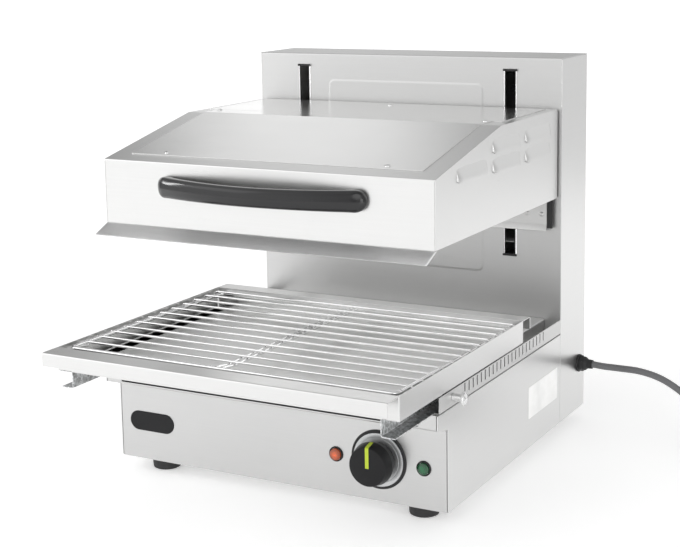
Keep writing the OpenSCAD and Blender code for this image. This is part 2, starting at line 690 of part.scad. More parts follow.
lip_line = [[sheet_t - hood_out, hood_z + flap_leg], [sheet_t - hood_out, hood_z - fit],
  [-hood_out - flap_out, hood_z - flap_drop]];
module hood_lip() color("silver") put() {
  along_x(-hood_in, hood_in) polygon(strip(lip_line, sheet_t));
  along_x(-hood_hw, hood_hw) polygon(strip([lip_line[1], lip_line[2]], sheet_t));
}
// y of a bow of half length c whose middle stands h in front of its ends
function bow(x, c, h, y) = let (r = (c * c + h * h) / (2 * h)) y - sqrt(r * r - x * x) + r - h;
bow_n = 24;
end_t = 6;
inner_c = handle_hl - handle_foot;
module hood_handle() color("black") put() {
  translate([0, 0, handle_z - handle_bar_h / 2]) linear_extrude(handle_bar_h) polygon(concat(
    [for (i = [-bow_n : bow_n]) let (x = handle_hl * i / bow_n)
      [x, bow(x, handle_hl, handle_out - end_t, -hood_out - end_t)]],
    [[handle_hl, -hood_out]],
    [for (i = [bow_n : -1 : -bow_n]) let (x = inner_c * i / bow_n)
      [x, bow(x, inner_c, handle_out - handle_t, -hood_out)]],
    [[-handle_hl, -hood_out]]));
  for (s = [-1, 1]) flip(s) box([inner_c, -hood_out - end_t, handle_z - handle_end_h / 2],
    [handle_hl, -hood_out, handle_z + handle_end_h / 2]);
}

// Reflector and heating elements under the hood
reflector_z = hood_z + reflector_up;
reflector_y1 = arm_front - reflector_gap;
element_z = hood_z + element_up;
bend_x = hood_in - element_gap - element_bend_in;
bracket_xs = [element_bend_in - bend_x, hood_in - element_hold];
module reflector() color("lightgray") put() along_x(-hood_in, hood_in) polygon(strip([
  [10 - hood_out, reflector_z - 14], [10 - hood_out, reflector_z],
  [reflector_y1, reflector_z], [reflector_y1, reflector_z - 14]], -sheet_t));
module element(y) color("saddlebrown") put() translate([0, y, element_z]) {
  for (e = [0, element_gap]) translate([0, e, 0]) rod_x(-bend_x, hood_in - element_end, element_d);
  translate([-bend_x, element_gap / 2, 0]) rotate([0, 0, 90])
    rotate_extrude(angle = 180, $fn = 48) translate([element_gap / 2, 0]) circle(d = element_d, $fn = 48);
}
module element_front() element(element_y);
module element_rear() element(element_y + element_next);
module element_brackets() color("silver") put() for (x = bracket_xs) difference() {
  box([x - 1, element_y - element_over, element_z - element_d],
    [x + 1, element_y + element_next + element_gap + element_over, reflector_z - sheet_t]);
  for (y = [0, element_gap, element_next, element_next + element_gap])
    translate([0, element_y + y, element_z]) rod_x(x - 2, x + 2, element_d + 2 * fit);
}

// Gland, cord, coil and plug
module on_gland() put() translate([0, gland_y, gland_z]) children();
module cable_gland() color("dimgray") on_gland() difference() {
  union() {
    rod_x(in_w - 11, half_w + 1, thread_d);
    rod_x(half_w, half_w + 2.2, gland_d);
    translate([half_w + 2, 0, 0]) rotate([0, 90, 0]) cylinder(h = 13, d = gland_d + 1.5, $fn = 6);
    rod_x(half_w + 14, half_w + 20, gland_d - 6.5);
  }
  rod_x(in_w - 20, half_w + 30, cord_d + 2 * fit);
}
floor_z = -foot_h;
coil_c = [half_w + coil_out, coil_y];
coil_r = 62;
coil_step = 9.7;
coil_turns = 4.25;
coil_lift = 1.2;
low_z = floor_z + coil_lift + cord_d / 2;
plug_r = 18;
plug_at = [coil_c[0] + coil_r + 1, coil_y - plug_fwd, floor_z + plug_r + 0.2];
run_points = [[half_w + 4, gland_y, gland_z], [half_w + 21, gland_y, gland_z],
  [half_w + 36, gland_y + 1, gland_z - 1.2], [282, 429, 62], [310, 430, 61], [337, 430, 55],
  [362, 431, 42], [384, 432, 24], [405, 434, 6], [427, 436, -7], [448, 437, low_z],
  [coil_c[0], coil_c[1] + coil_r, low_z]];
function cat(a, b, c, d, t) = 0.5 * (2 * b + (c - a) * t + (2 * a - 5 * b + 4 * c - d) * t * t
  + (3 * b - a - 3 * c + d) * t * t * t);
function smooth(p, n) = let (m = len(p) - 1) concat([for (i = [0 : m - 1], k = [0 : n - 1])
  cat(i == 0 ? 2 * p[0] - p[1] : p[i - 1], p[i], p[i + 1],
    i == m - 1 ? 2 * p[m] - p[m - 1] : p[i + 2], k / n)], [p[m]]);
function way(p, i) = let (v = p[min(i + 1, len(p) - 1)] - p[max(i - 1, 0)]) v / norm(v);
function ring(p, i, r, n) = let (t = way(p, i), s = cross(t, [0, 0, 1]), a = s / norm(s), b = cross(a, t))
  [for (j = [0 : n - 1]) p[i] + r * (cos(360 * j / n) * a + sin(360 * j / n) * b)];
module tube(p, r, n) polyhedron(
  points = [for (i = [0 : len(p) - 1], q = ring(p, i, r, n)) q],
  faces = concat([for (j = [1 : n - 2]) [0, j + 1, j]],
    [for (j = [1 : n - 2]) let (e = (len(p) - 1) * n) [e, e + j, e + j + 1]],
    [for (i = [0 : len(p) - 2], j = [0 : n - 1]) let (a = i * n, k = (j + 1) % n) [a + j, a + k, a + n + k]],
    [for (i = [0 : len(p) - 2], j = [0 : n - 1]) let (a = i * n, k = (j + 1) % n)
      [a + j, a + n + k, a + n + j]]));
module cord_run() color("gray") put() tube(smooth(run_points, 3), cord_d / 2, 10);

// The coil winds inwards on the floor, climbs one layer in its middle half turn and winds out again
rings = 24;
function climb(t) = let (s = min(1, max(0, (t - coil_turns / 2 + 0.25) * 2))) s * s * (3 - 2 * s);
function coil_at(t) = let (r = coil_r - coil_step * min(t, coil_turns - t), a = 90 - 360 * t)
  [coil_c[0] + r * cos(a), coil_c[1] + r * sin(a), low_z + coil_step * climb(t)];
coil_line = concat([for (i = [0 : coil_turns * rings]) coil_at(i / rings)],
  [for (y = [9, 22, 35]) [coil_c[0] + coil_r + y / 40, coil_c[1] - y, low_z + coil_step
    + (plug_at[2] - low_z - coil_step) * y / plug_fwd]],
  [[plug_at[0], plug_at[1] + 2, plug_at[2]], [plug_at[0], plug_at[1] - 9, plug_at[2]]]);
coil_gap = min([for (i = [0 : len(coil_line) - 1], j = [i + rings / 2 : len(coil_line) - 1])
  if (j < len(coil_line)) norm(coil_line[i] - coil_line[j])]) - cord_d;
echo(least_gap_of_the_coil_mm = coil_gap);
module cord_coil() color("gray") put() tube(coil_line, cord_d / 2, coil_sides);
coil_sides = 6;
coil_half = cord_d / 2 * cos(180 / coil_sides);
tie_t = 1.2;
tie_w = 12;
tie_room = 0.9;
tie_x0 = coil_c[0] - coil_r + coil_step / 2 - cord_d / 2 - tie_room;
tie_x1 = coil_c[0] - coil_r + 1.75 * coil_step + cord_d / 2 + tie_room;
tie_z0 = low_z - coil_half;
tie_z1 = low_z + coil_step + coil_half;
module tie_loop(grow) translate([tie_x0 - grow, tie_z0 - grow])
  square([tie_x1 - tie_x0 + 2 * grow, tie_z1 - tie_z0 + 2 * grow]);
module coil_tie() color("black") put() along_y(coil_c[1] - tie_w / 2, coil_c[1] + tie_w / 2)
  difference() {
    tie_loop(tie_t);
    tie_loop(0);
  }
module plug_body() color("dimgray") put() translate(plug_at) rotate([90, 0, 0]) {
  difference() {
    union() {
      cylinder(h = 17, d1 = cord_d + 4, d2 = 22, $fn = 48);
      translate([0, 0, 16]) cylinder(h = 8, d1 = 22, d2 = 2 * plug_r, $fn = 48);
      translate([0, 0, 24]) cylinder(h = 26, r = plug_r, $fn = 48);
    }
    translate([0, 0, -1]) cylinder(h = 12, d = cord_d + 2 * fit, $fn = 48);
  }
  for (x = [-9.5, 9.5]) translate([x, 0, 49]) cylinder(h = 20, d = 4.8, $fn = 32);
}

base_front_panel();
base_side_left();
base_side_right();
base_deck();
base_bottom();
feet();
nameplate_blank();
dial_ring();
dial_plate();
thermostat();
thermostat_shaft();
knob();
knob_pointer();
lamp_bezels();
heating_lamp_lens();
power_lamp_lens();
rating_label();
terminal_block();
screw_nut();
thumb_screw();
tray_pan();
tray_rail_left();
tray_rail_right();
grid_frame();
grid_wires();
tower_front();
tower_side_left();
tower_side_right();
tower_back_cover();
tower_cover_screws();
slot_trim_left();
slot_trim_right();
slot_end_bars();
guide_rod_left();
guide_rod_right();
rod_clamps();
stop_collars();
strut_tubes();
strut_rods();
carriage();
hood_arm_left();
hood_arm_right();
hood_bracket_left();
hood_bracket_right();
hood_strips();
hood_shell();
hood_slope_cover();
hood_rear_cover();
hood_screws();
hood_lip();
hood_handle();
reflector();
element_front();
element_rear();
element_brackets();
cable_gland();
cord_run();
cord_coil();
coil_tie();
plug_body();
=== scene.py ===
import json
import math
from collections import namedtuple

import bmesh
import bpy
from bpy.props import FloatProperty, FloatVectorProperty, IntProperty, PointerProperty
from mathutils import Matrix, Vector

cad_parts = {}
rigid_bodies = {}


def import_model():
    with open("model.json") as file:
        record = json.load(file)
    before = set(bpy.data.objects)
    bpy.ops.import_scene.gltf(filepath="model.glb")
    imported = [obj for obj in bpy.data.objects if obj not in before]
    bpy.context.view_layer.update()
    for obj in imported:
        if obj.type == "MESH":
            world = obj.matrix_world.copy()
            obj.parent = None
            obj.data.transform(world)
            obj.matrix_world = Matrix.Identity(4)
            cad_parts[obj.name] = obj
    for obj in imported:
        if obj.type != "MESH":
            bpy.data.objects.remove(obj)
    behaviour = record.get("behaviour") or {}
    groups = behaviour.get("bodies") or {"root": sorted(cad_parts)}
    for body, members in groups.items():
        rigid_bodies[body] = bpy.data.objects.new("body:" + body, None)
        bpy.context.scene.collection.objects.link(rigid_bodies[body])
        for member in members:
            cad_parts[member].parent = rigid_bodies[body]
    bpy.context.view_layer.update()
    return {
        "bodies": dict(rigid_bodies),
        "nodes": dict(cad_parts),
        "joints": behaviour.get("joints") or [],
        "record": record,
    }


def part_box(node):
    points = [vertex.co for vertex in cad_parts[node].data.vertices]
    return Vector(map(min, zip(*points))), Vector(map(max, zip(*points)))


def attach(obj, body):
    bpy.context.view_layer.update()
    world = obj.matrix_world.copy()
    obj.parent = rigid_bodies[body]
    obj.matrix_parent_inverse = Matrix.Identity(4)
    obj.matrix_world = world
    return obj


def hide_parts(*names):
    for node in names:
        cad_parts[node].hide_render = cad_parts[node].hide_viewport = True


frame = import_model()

bl_info = {
    "name": "Cheese melter with lifting hood",
    "version": (1, 0, 0),
    "blender": (4, 5, 0),
    "location": "View3D > Sidebar > Melter",
    "description": "Dresses the packed model of a countertop cheese melter",
    "category": "Object",
}

MM = 0.001

# The drawing frame: x = 0 in the middle of the body, y = 0 on the lower front panel, z = 0 under
# the base, in millimetres.
SHEET = (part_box("base_bottom")[1].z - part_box("base_bottom")[0].z) / MM
ORIGIN = Vector((
    (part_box("base_side_left")[0].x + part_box("base_side_right")[1].x) / 2,
    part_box("base_bottom")[0].y - SHEET * MM,
    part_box("base_bottom")[0].z,
))


class Span(namedtuple("Span", "x0 y0 z0 x1 y1 z1")):
    """A box in the drawing frame, with its middle as x, y and z."""
    x = property(lambda self: (self.x0 + self.x1) / 2)
    y = property(lambda self: (self.y0 + self.y1) / 2)
    z = property(lambda self: (self.z0 + self.z1) / 2)


def at(x, y, z):
    """A point of the drawing frame, in metres in the row's frame."""
    return ORIGIN + Vector((x, y, z)) * MM


def span(node):
    """The box round a CAD node."""
    low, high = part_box(node)
    return Span(*((low - ORIGIN) / MM), *((high - ORIGIN) / MM))


HOOD, TOWER, SIDE = span("hood_shell"), span("tower_front"), span("base_side_right")
TRAY, DECK, SLOT = span("tray_pan"), span("base_deck"), span("slot_trim_right")
ARM = span("hood_arm_right")
HOOD_HALF = span("hood_lip").x1
FLOOR_Z = span("feet").z0
HALF = SIDE.x1                            # half of the body's width
INNER = HALF - SHEET                      # the same inside the side sheets
LEDGE = SIDE.z1                           # top of the side sheets
NOSE = -span("base_front_panel").y0       # how far the nose stands out
TOWER_FRONT = SLOT.y1                     # front face of the tower
BACK = span("tower_side_right").y1        # rear face of the tower

STEP_LOW, STEP_HIGH = 97, 103             # where the panel's step starts and ends
GROOVE = 22.5                             # width of a groove with its wall
VENT_Y, VENT_PITCH, VENT_W, VENT_H = 45, 11.7, 2.8, 12
FOOT_R, BEZEL_R = 19.0, 9                 # radius of a foot, and of a lamp's ring
KNURLS = 72                               # steps round the thumb screw's head
TRAY_FRONT = -118.0                       # front wall of the tray at rest
TRAY_GAP = 128                            # from the tray's rear wall to the tower
LIP_DROP = 16                             # how far the tray's lips hang down
WIRES = 12                                # cross wires of the grid
SLOT_CUT = 8                              # half width of the slot cut in the sheet
TRIM_IN, TRIM_OUT = 7.4, 9.4              # edges of a trim strip, from the slot's middle
PRESS_SIDE, PRESS_LOW, PRESS_TOP = 41, 198.0, 38
BACK_COLUMNS, BACK_PITCH, BACK_LOUVRE = (-138.0, 18.0), 26, 120
HOOD_VENTS = ((37, 64), (138, 61), (138, 84), (240, 60), (240, 84))   # y, and height over the rim
COIL_X, COIL_Y = 470, 375                 # middle of the coil
FORWARD, REARWARD, RIGHT, UP = (0, -1, 0), (0, 1, 0), (1, 0, 0), (0, 0, 1)


# ---------------------------------------------------------------- sizes and colours

def length(name, about, value, low=0.0, high=1000.0):
    """A size in millimetres."""
    return FloatProperty(name=name, description=about, default=value, min=low, max=high)


def colour(name, about, value):
    """A colour, as scene-linear red, green and blue."""
    return FloatVectorProperty(name=name, description=about, default=value, size=3,
                               subtype="COLOR", min=0.0, max=1.0)


class MelterSizes(bpy.types.PropertyGroup):
    """Sizes of the dressed pieces in millimetres."""
    edge: length("Edge break", "Width of the broken sheet edges", 0.28)
    hood_face: length("Hood face", "Height of the hood's front face", 77)
    hood_ridge: length("Hood ridge", "Where the slope meets the flat top", 164)
    hood_louvre: length("Louvre length", "Length of one hood louvre", 83)
    louvre_height: length("Louvre height", "Height of one hood louvre", 18)
    press_slope: length("Press slope", "Width of the pressed panel's edge", 3.5)
    wire: length("Wire", "Diameter of the grid's cross wires", 3)
    frame_wire: length("Frame wire", "Diameter of the grid's frame wires", 5)
    cord: length("Cord", "Diameter of the cord", 9)
    coil_radius: length("Coil radius", "Radius of the coil's outer turn", 62)
    coil_step: length("Coil step", "Distance between turns and layers", 9.7)
    coil_turns: FloatProperty(name="Coil turns", description="Turns of the coil", default=4.25)
    vents: IntProperty(name="Vents", description="Vent slots in each groove wall", default=22)


class MelterColours(bpy.types.PropertyGroup):
    """Base colours of the finishes."""
    steel: colour("Steel", "Satin stainless sheet", (0.72, 0.72, 0.715))
    # Painted shade: the same satin steel as above, darkened, so the tower front, its back cover and
    # the lower front panel read darker than the lit sheets.
    tower: colour("Tower", "Satin sheet of the tower and lower front", (0.60, 0.60, 0.597))
    deck: colour("Deck", "Satin sheet of the deck and inner plates", (0.64, 0.64, 0.635))
    rail: colour("Rail", "Galvanised rails and the dial", (0.64, 0.65, 0.655))
    chrome: colour("Chrome", "Bright wires and turned steel", (0.83, 0.83, 0.83))
    black: colour("Black", "Glossy mouldings", (0.012, 0.012, 0.013))
    dark: colour("Dark", "Matte mouldings and rubber", (0.02, 0.02, 0.021))
    pointer: colour("Pointer", "Mark on the knob", (0.50, 0.62, 0.03))
    red: colour("Red lens", "Heating lamp", (0.42, 0.075, 0.02))
    green: colour("Green lens", "Power lamp", (0.0, 0.085, 0.025))
    white: colour("White", "Blank label", (0.95, 0.95, 0.94))
    cord: colour("Cord", "Sheath of the cord", (0.14, 0.14, 0.145))
    floor: colour("Floor", "Studio floor", (0.93, 0.93, 0.93))


# ---------------------------------------------------------------- outlines and meshes

def circle(steps):
    """The cosine and sine of each step round a circle."""
    return [(math.cos(math.tau * i / steps), math.sin(math.tau * i / steps)) for i in range(steps)]


def ease(t):
    """From 0 to 1 with soft ends."""
    t = min(max(t, 0), 1)
    return t * t * (3 - 2 * t)


def swell(value, power):
    """A value to a power, with its sign kept."""
    return math.copysign(abs(value) ** power, value)


def pair(stem):
    """The sign and the name of the left and the right piece."""
    return (-1, stem + "_left"), (1, stem + "_right")


def rounded(x0, y0, x1, y1, r, steps=8):
    """A rectangle with round corners."""
    out = []
    for cx, cy, first in ((x1 - r, y1 - r, 0), (x0 + r, y1 - r, 90), (x0 + r, y0 + r, 180),
                          (x1 - r, y0 + r, 270)):
        for i in range(steps + 1):
            a = math.radians(first + 90 * i / steps)
            out.append((cx + r * math.cos(a), cy + r * math.sin(a)))
    return out


def fillet(points, radius, steps=6):
    """An open outline with its inner corners rounded."""
    out = [Vector(points[0])]
    for before, here, after in zip(points, points[1:], points[2:]):
        p = Vector(here)
        a = (Vector(before) - p).normalized()
        b = (Vector(after) - p).normalized()
        half = a.angle(b) / 2
        reach = radius / math.tan(half)
        centre = p + (a + b).normalized() * radius / math.sin(half)
        start = p + a * reach - centre
        turn = start.angle_signed(p + b * reach - centre)
        out += [centre + Matrix.Rotation(-turn * i / steps, 2) @ start for i in range(steps + 1)]
    return out + [Vector(points[-1])]


def offset(points, by):
    """The outline moved to its left by a distance, with mitred corners."""
    p = [Vector(q) for q in points]
    normals = [Vector((a.y - b.y, b.x - a.x)).normalized() for a, b in zip(p, p[1:])]
    out = [p[0] + normals[0] * by]
    out += [q + (m + n) * by / (1 + m.dot(n)) for q, m, n in zip(p[1:], normals, normals[1:])]
    return out + [p[-1] + normals[-1] * by]


def folded(points, thickness, radius):
    """The closed outline of a sheet folded along points, its thickness to their left."""
    line = fillet(points, radius)
    return line + offset(line, thickness)[::-1]


def curved(points, steps):
    """A smooth line through points."""
    p = [Vector(q) for q in points]
    p = [2 * p[0] - p[1]] + p + [2 * p[-1] - p[-2]]
    out = []
    for a, b, c, d in zip(p, p[1:], p[2:], p[3:]):
        for i in range(steps):
            t = i / steps
            out.append(0.5 * (2 * b + (c - a) * t + (2 * a - 5 * b + 4 * c - d) * t * t
                              + (3 * b - a - 3 * c + d) * t ** 3))
    return out + [p[-2]]


def make(name, verts, faces):
    """A mesh object from points and faces."""
    data = bpy.data.meshes.new(name)
    data.from_pydata([tuple(v) for v in verts], [], faces)
    data.validate()
    bm = bmesh.new()
    bm.from_mesh(data)
    bmesh.ops.recalc_face_normals(bm, faces=bm.faces)
    return keep(bm, name, data)


def keep(bm, name, data):
    """A new object that holds a bmesh, which is freed."""
    bm.to_mesh(data)
    bm.free()
    piece = bpy.data.objects.new(name, data)
    bpy.context.scene.collection.objects.link(piece)
    return piece


def bands(rows, n, first=0):
    """The faces between rows of n points each, closed round."""
    return [(first + k * n + i, first + k * n + (i + 1) % n, first + (k + 1) * n + (i + 1) % n,
             first + (k + 1) * n + i) for k in range(rows - 1) for i in range(n)]


def caps(rows, n, first=0):
    """The faces that close the first and the last row."""
    return [tuple(range(first, first + n))[::-1],
            tuple(range(first + (rows - 1) * n, first + rows * n))]


def loft(name, rows):
    """A closed body through rows of points."""
    count, n = len(rows), len(rows[0])
    return make(name, [v for row in rows for v in row], bands(count, n) + caps(count, n))


def prism(name, outline, low, high, place):
    """A closed outline drawn out from low to high; place(u, v, w) puts its points."""
    return loft(name, [[place(p[0], p[1], w) for p in outline] for w in (low, high)])


def across(u, v, w):
    """Outline in the y-z plane, drawn out along x."""
    return at(w, u, v)


def deep(u, v, w):
    """Outline in the x-z plane, drawn out along y."""
    return at(u, w, v)


def upright(u, v, w):
    """Outline in the x-y plane, drawn out along z."""
    return at(u, v, w)


def block(name, corner, other):
    """A box between two corners of the drawing frame."""
    (x0, x1), (y0, y1), (z0, z1) = (sorted(ends) for ends in zip(corner, other))
    return prism(name, [(x0, y0), (x1, y0), (x1, y1), (x0, y1)], z0, z1, upright)


def lathe(name, profile, foot, axis, steps=64):
    """A body turned about an axis: profile holds (radius, distance along the axis)."""
    turn = Vector(UP).rotation_difference(Vector(axis)).to_matrix()
    verts = [at(*(Vector(foot) + turn @ Vector((r * c, r * s, h))))
             for r, h in profile for c, s in circle(steps)]
    return weld(make(name, verts, bands(len(profile), steps)), 1e-6)


def weld(piece, distance=1e-5):
    """Joins points that lie on each other and closes open round ends."""
    bm = bmesh.new()
    bm.from_mesh(piece.data)
    bmesh.ops.remove_doubles(bm, verts=bm.verts, dist=distance)
    bmesh.ops.dissolve_degenerate(bm, edges=bm.edges, dist=distance)
    bmesh.ops.holes_fill(bm, edges=[e for e in bm.edges if e.is_boundary], sides=0)
    bmesh.ops.recalc_face_normals(bm, faces=bm.faces)
    bm.to_mesh(piece.data)
    bm.free()
    return piece


def swept(name, lines, radius, sides=12):
    """Round wires that follow lines of points in the drawing frame."""
    verts, faces = [], []
    for line in lines:
        p = [Vector(q) for q in line]
        first = len(verts)
        side = None
        for i, q in enumerate(p):
            way = (p[min(i + 1, len(p) - 1)] - p[max(i - 1, 0)]).normalized()
            if side is None:
                side = way.orthogonal().normalized()
            side = (side - way * side.dot(way)).normalized()
            up = way.cross(side)
            verts += [at(*(q + (side * c + up * s) * radius)) for c, s in circle(sides)]
        faces += bands(len(p), sides, first) + caps(len(p), sides, first)
    return make(name, verts, faces)


def join(name, pieces):
    """One object from several."""
    bm = bmesh.new()
    for piece in pieces:
        bm.from_mesh(piece.data)
        bpy.data.objects.remove(piece)
    return keep(bm, name, bpy.data.meshes.new(name))


def cut(piece, *cutters):
    """Takes the cutters away from the piece."""
    for cutter in cutters:
        change = piece.modifiers.new("cut", "BOOLEAN")
        change.operation = "DIFFERENCE"
        change.object = cutter
        change.solver = "EXACT"
    bpy.context.view_layer.update()
    layers = bpy.context.evaluated_depsgraph_get()
    ready = bpy.data.meshes.new_from_object(piece.evaluated_get(layers))
    piece.modifiers.clear()
    piece.data = ready
    for cutter in cutters:
        bpy.data.objects.remove(cutter)


def soften(piece, width, segments=2, angle=32):
    """Breaks the piece's edges and shades it by area."""
    for face in piece.data.polygons:
        face.use_smooth = True
    bevel = piece.modifiers.new("edge break", "BEVEL")
    bevel.width = width * MM
    bevel.segments = segments
    bevel.limit_method = "ANGLE"
    bevel.angle_limit = math.radians(angle)
    bevel.use_clamp_overlap = True
    even = piece.modifiers.new("even shade", "WEIGHTED_NORMAL")
    even.weight = 80
    even.keep_sharp = True
    return piece


def sharpen(piece, angle=35):
    """Smooth shading with sharp edges above an angle."""
    bm = bmesh.new()
    bm.from_mesh(piece.data)
    for face in bm.faces:
        face.smooth = True
    for edge in bm.edges:
        if len(edge.link_faces) == 2:
            edge.smooth = edge.calc_face_angle(0) < math.radians(angle)
    bm.to_mesh(piece.data)
    bm.free()
    return piece


def dress(piece, body, name, *nodes):
    """Gives the piece its finish and its body, and puts it in place of the CAD nodes."""
    look, slot = finish(name)
    piece.data.materials.clear()
    piece.data.materials.append(look)
    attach(piece, body)
    if nodes:
        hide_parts(*nodes)


# ---------------------------------------------------------------- shader nodes and groups

def node(tree, kind, links=(), **values):
    """A shader node with its own values and what feeds its sockets."""
    new = tree.nodes.new("ShaderNode" + kind)
    for key, value in values.items():
        setattr(new, key, value)
    for socket, source in dict(links).items():
        target = new.inputs[socket]
        if isinstance(source, bpy.types.NodeSocket):
            tree.links.new(source, target)
        else:
            target.default_value = source
    return new


def sums(tree, operation, *values):
    """A Math node's value."""
    return node(tree, "Math", dict(enumerate(values)), operation=operation).outputs[0]


def vectors(tree, operation, *values):
    """A Vector Math node's vector or value."""
    new = node(tree, "VectorMath", dict(enumerate(values)), operation=operation)
    return new.outputs["Value" if operation in ("LENGTH", "DOT_PRODUCT") else "Vector"]


def spread(tree, source, low, high, to_low, to_high):
    """A value moved from one range to another."""
    return node(tree, "MapRange", {0: source, 1: low, 2: high, 3: to_low, 4: to_high}).outputs[0]


def noise(tree, where, scale, detail=3.0, rough=0.55):
    """A noise value over a place."""
    return node(tree, "TexNoise", {"Vector": where, "Scale": scale, "Detail": detail,
                                   "Roughness": rough}).outputs["Fac"]


def grey(tree, value):
    """A value as a grey colour."""
    return node(tree, "CombineColor", {"Red": value, "Green": value, "Blue": value}).outputs[0]


def off_axis(tree, where, centre):
    """The distance from a line along y through a centre."""
    away = vectors(tree, "SUBTRACT", where, centre)
    return vectors(tree, "LENGTH", vectors(tree, "MULTIPLY", away, (1.0, 0.0, 1.0)))


def tinted(tree, tone, base):
    """A colour made lighter and darker by a tone."""
    mix = node(tree, "Mix", data_type="RGBA", blend_type="MULTIPLY")
    mix.inputs["Factor"].default_value = 1.0
    mix.inputs["A"].default_value = (*base, 1.0)
    tree.links.new(grey(tree, tone), mix.inputs["B"])
    return mix.outputs["Result"]


def group(name, *inputs):
    """A node group for a skin: its tree, and its input and output sockets."""
    tree = bpy.data.node_groups.new(name, "ShaderNodeTree")
    for label, kind, value in (("Place", "Vector", None), *inputs):
        socket = tree.interface.new_socket(name=label, in_out="INPUT",
                                           socket_type="NodeSocket" + kind)
        if value is not None:
            socket.default_value = value
    for label, kind in (("Tone", "Float"), ("Roughness", "Float"), ("Normal", "Vector")):
        tree.interface.new_socket(name=label, in_out="OUTPUT", socket_type="NodeSocket" + kind)
    return tree, tree.nodes.new("NodeGroupInput").outputs, tree.nodes.new("NodeGroupOutput").inputs


def give(tree, given, out, tone, uneven, height, distance):
    """Links a skin's tone, its roughness and its bumps to the group's outputs."""
    tree.links.new(tone, out["Tone"])
    tree.links.new(sums(tree, "ADD", given["Roughness"],
                        sums(tree, "MULTIPLY", uneven, given["Spread"])), out["Roughness"])
    bump = node(tree, "Bump", {"Strength": given["Depth"], "Distance": distance, "Height": height})
    tree.links.new(bump.outputs[0], out["Normal"])
    return tree


def brushed_grain():
    """Fine lines drawn along the sheet, with cloudy wear between them."""
    tree, given, out = group("brushed grain", ("Lines", "Vector", (14.0, 2400.0, 2400.0)),
                             ("Roughness", "Float", 0.3), ("Spread", "Float", 0.1),
                             ("Depth", "Float", 0.1), ("Cloud", "Float", 0.5))
    drawn = vectors(tree, "MULTIPLY", given["Place"], given["Lines"])
    fine = noise(tree, drawn, 1.0, 2.0, 0.7)
    coarse = noise(tree, vectors(tree, "MULTIPLY", drawn, (0.23, 0.23, 0.23)), 1.0, 3.0, 0.6)
    lines = sums(tree, "ADD", sums(tree, "MULTIPLY", fine, 0.6),
                 sums(tree, "MULTIPLY", coarse, 0.4))
    cloud = noise(tree, given["Place"], 9.0, 4.0, 0.55)
    centred = sums(tree, "SUBTRACT", lines, 0.5)
    clouded = sums(tree, "MULTIPLY", sums(tree, "SUBTRACT", cloud, 0.5), given["Cloud"])
    tone = sums(tree, "ADD", sums(tree, "ADD", 1.0, sums(tree, "MULTIPLY", centred, 0.10)),
                sums(tree, "MULTIPLY", clouded, 0.06))
    return give(tree, given, out, tone, sums(tree, "ADD", centred, clouded), lines, 0.0002)


def moulded_skin():
    """The slight texture and unevenness of a moulded or cast surface."""
    tree, given, out = group("moulded skin", ("Grain", "Float", 1400.0), ("Depth", "Float", 0.05),
                             ("Roughness", "Float", 0.4), ("Spread", "Float", 0.1))
    fine = noise(tree, given["Place"], given["Grain"], 2.0)
    wide = noise(tree, given["Place"], 28.0, 4.0)
    return give(tree, given, out, spread(tree, wide, 0.3, 0.7, 0.9, 1.1),
                sums(tree, "SUBTRACT", wide, 0.5), fine, 0.0003)


def spun_rings():
    """Turned rings round an axis along y through a centre."""
    tree, given, out = group("spun rings", ("Centre", "Vector", (0.0, 0.0, 0.0)),
                             ("Rings", "Float", 2600.0), ("Roughness", "Float", 0.28),
                             ("Spread", "Float", 0.12), ("Depth", "Float", 0.25))
    radius = off_axis(tree, given["Place"], given["Centre"])
    turned = node(tree, "CombineXYZ", {"X": sums(tree, "MULTIPLY", radius, given["Rings"])})
    rings = noise(tree, turned.outputs[0], 1.0, 3.0, 0.7)
    return give(tree, given, out, spread(tree, rings, 0.3, 0.7, 0.93, 1.05),
                sums(tree, "SUBTRACT", rings, 0.5), rings, 0.0002)


GROUPS = {}


def place_group(tree, maker, **values):
    """A node group placed in a material, with the object's own place as its place."""
    if maker.__name__ not in GROUPS:
        GROUPS[maker.__name__] = maker()
    new = tree.nodes.new("ShaderNodeGroup")
    new.node_tree = GROUPS[maker.__name__]
    tree.links.new(node(tree, "TexCoord").outputs["Object"], new.inputs["Place"])
    for key, value in values.items():
        new.inputs[key].default_value = value
    return new.outputs


# ---------------------------------------------------------------- finishes

def surface(name, **constants):
    """A material, its node tree and its Principled shader with the constants set on it."""
    look = bpy.data.materials.new(name)
    look.use_nodes = True
    tree = look.node_tree
    shader = tree.nodes["Principled BSDF"]
    for key, value in constants.items():
        shader.inputs[key.replace("_", " ").title().replace("Ior", "IOR")].default_value = value
    return look, tree, shader


def feed(tree, shader, outputs, base):
    """Links a group's tone, roughness and normal to the shader."""
    tree.links.new(tinted(tree, outputs["Tone"], base), shader.inputs["Base Color"])
    tree.links.new(outputs["Roughness"], shader.inputs["Roughness"])
    tree.links.new(outputs["Normal"], shader.inputs["Normal"])


ALONG_X = (14.0, 2400.0, 2400.0)
ALONG_Y = (2400.0, 14.0, 2400.0)


def sheet(name, base, lines, roughness=0.3):
    """Satin sheet with its grain drawn along one way."""
    look, tree, shader = surface(name, metallic=1.0)
    feed(tree, shader, place_group(tree, brushed_grain, Lines=lines, Roughness=roughness,
                                   Spread=0.12, Depth=0.12, Cloud=0.6), base)
    return look


def moulding(name, base, roughness, variation=0.1, depth=0.05, grain=1400.0, **constants):
    """Moulded plastic, rubber or cast metal."""
    look, tree, shader = surface(name, **constants)
    feed(tree, shader, place_group(tree, moulded_skin, Grain=grain, Depth=depth,
                                   Roughness=roughness, Spread=variation), base)
    return look


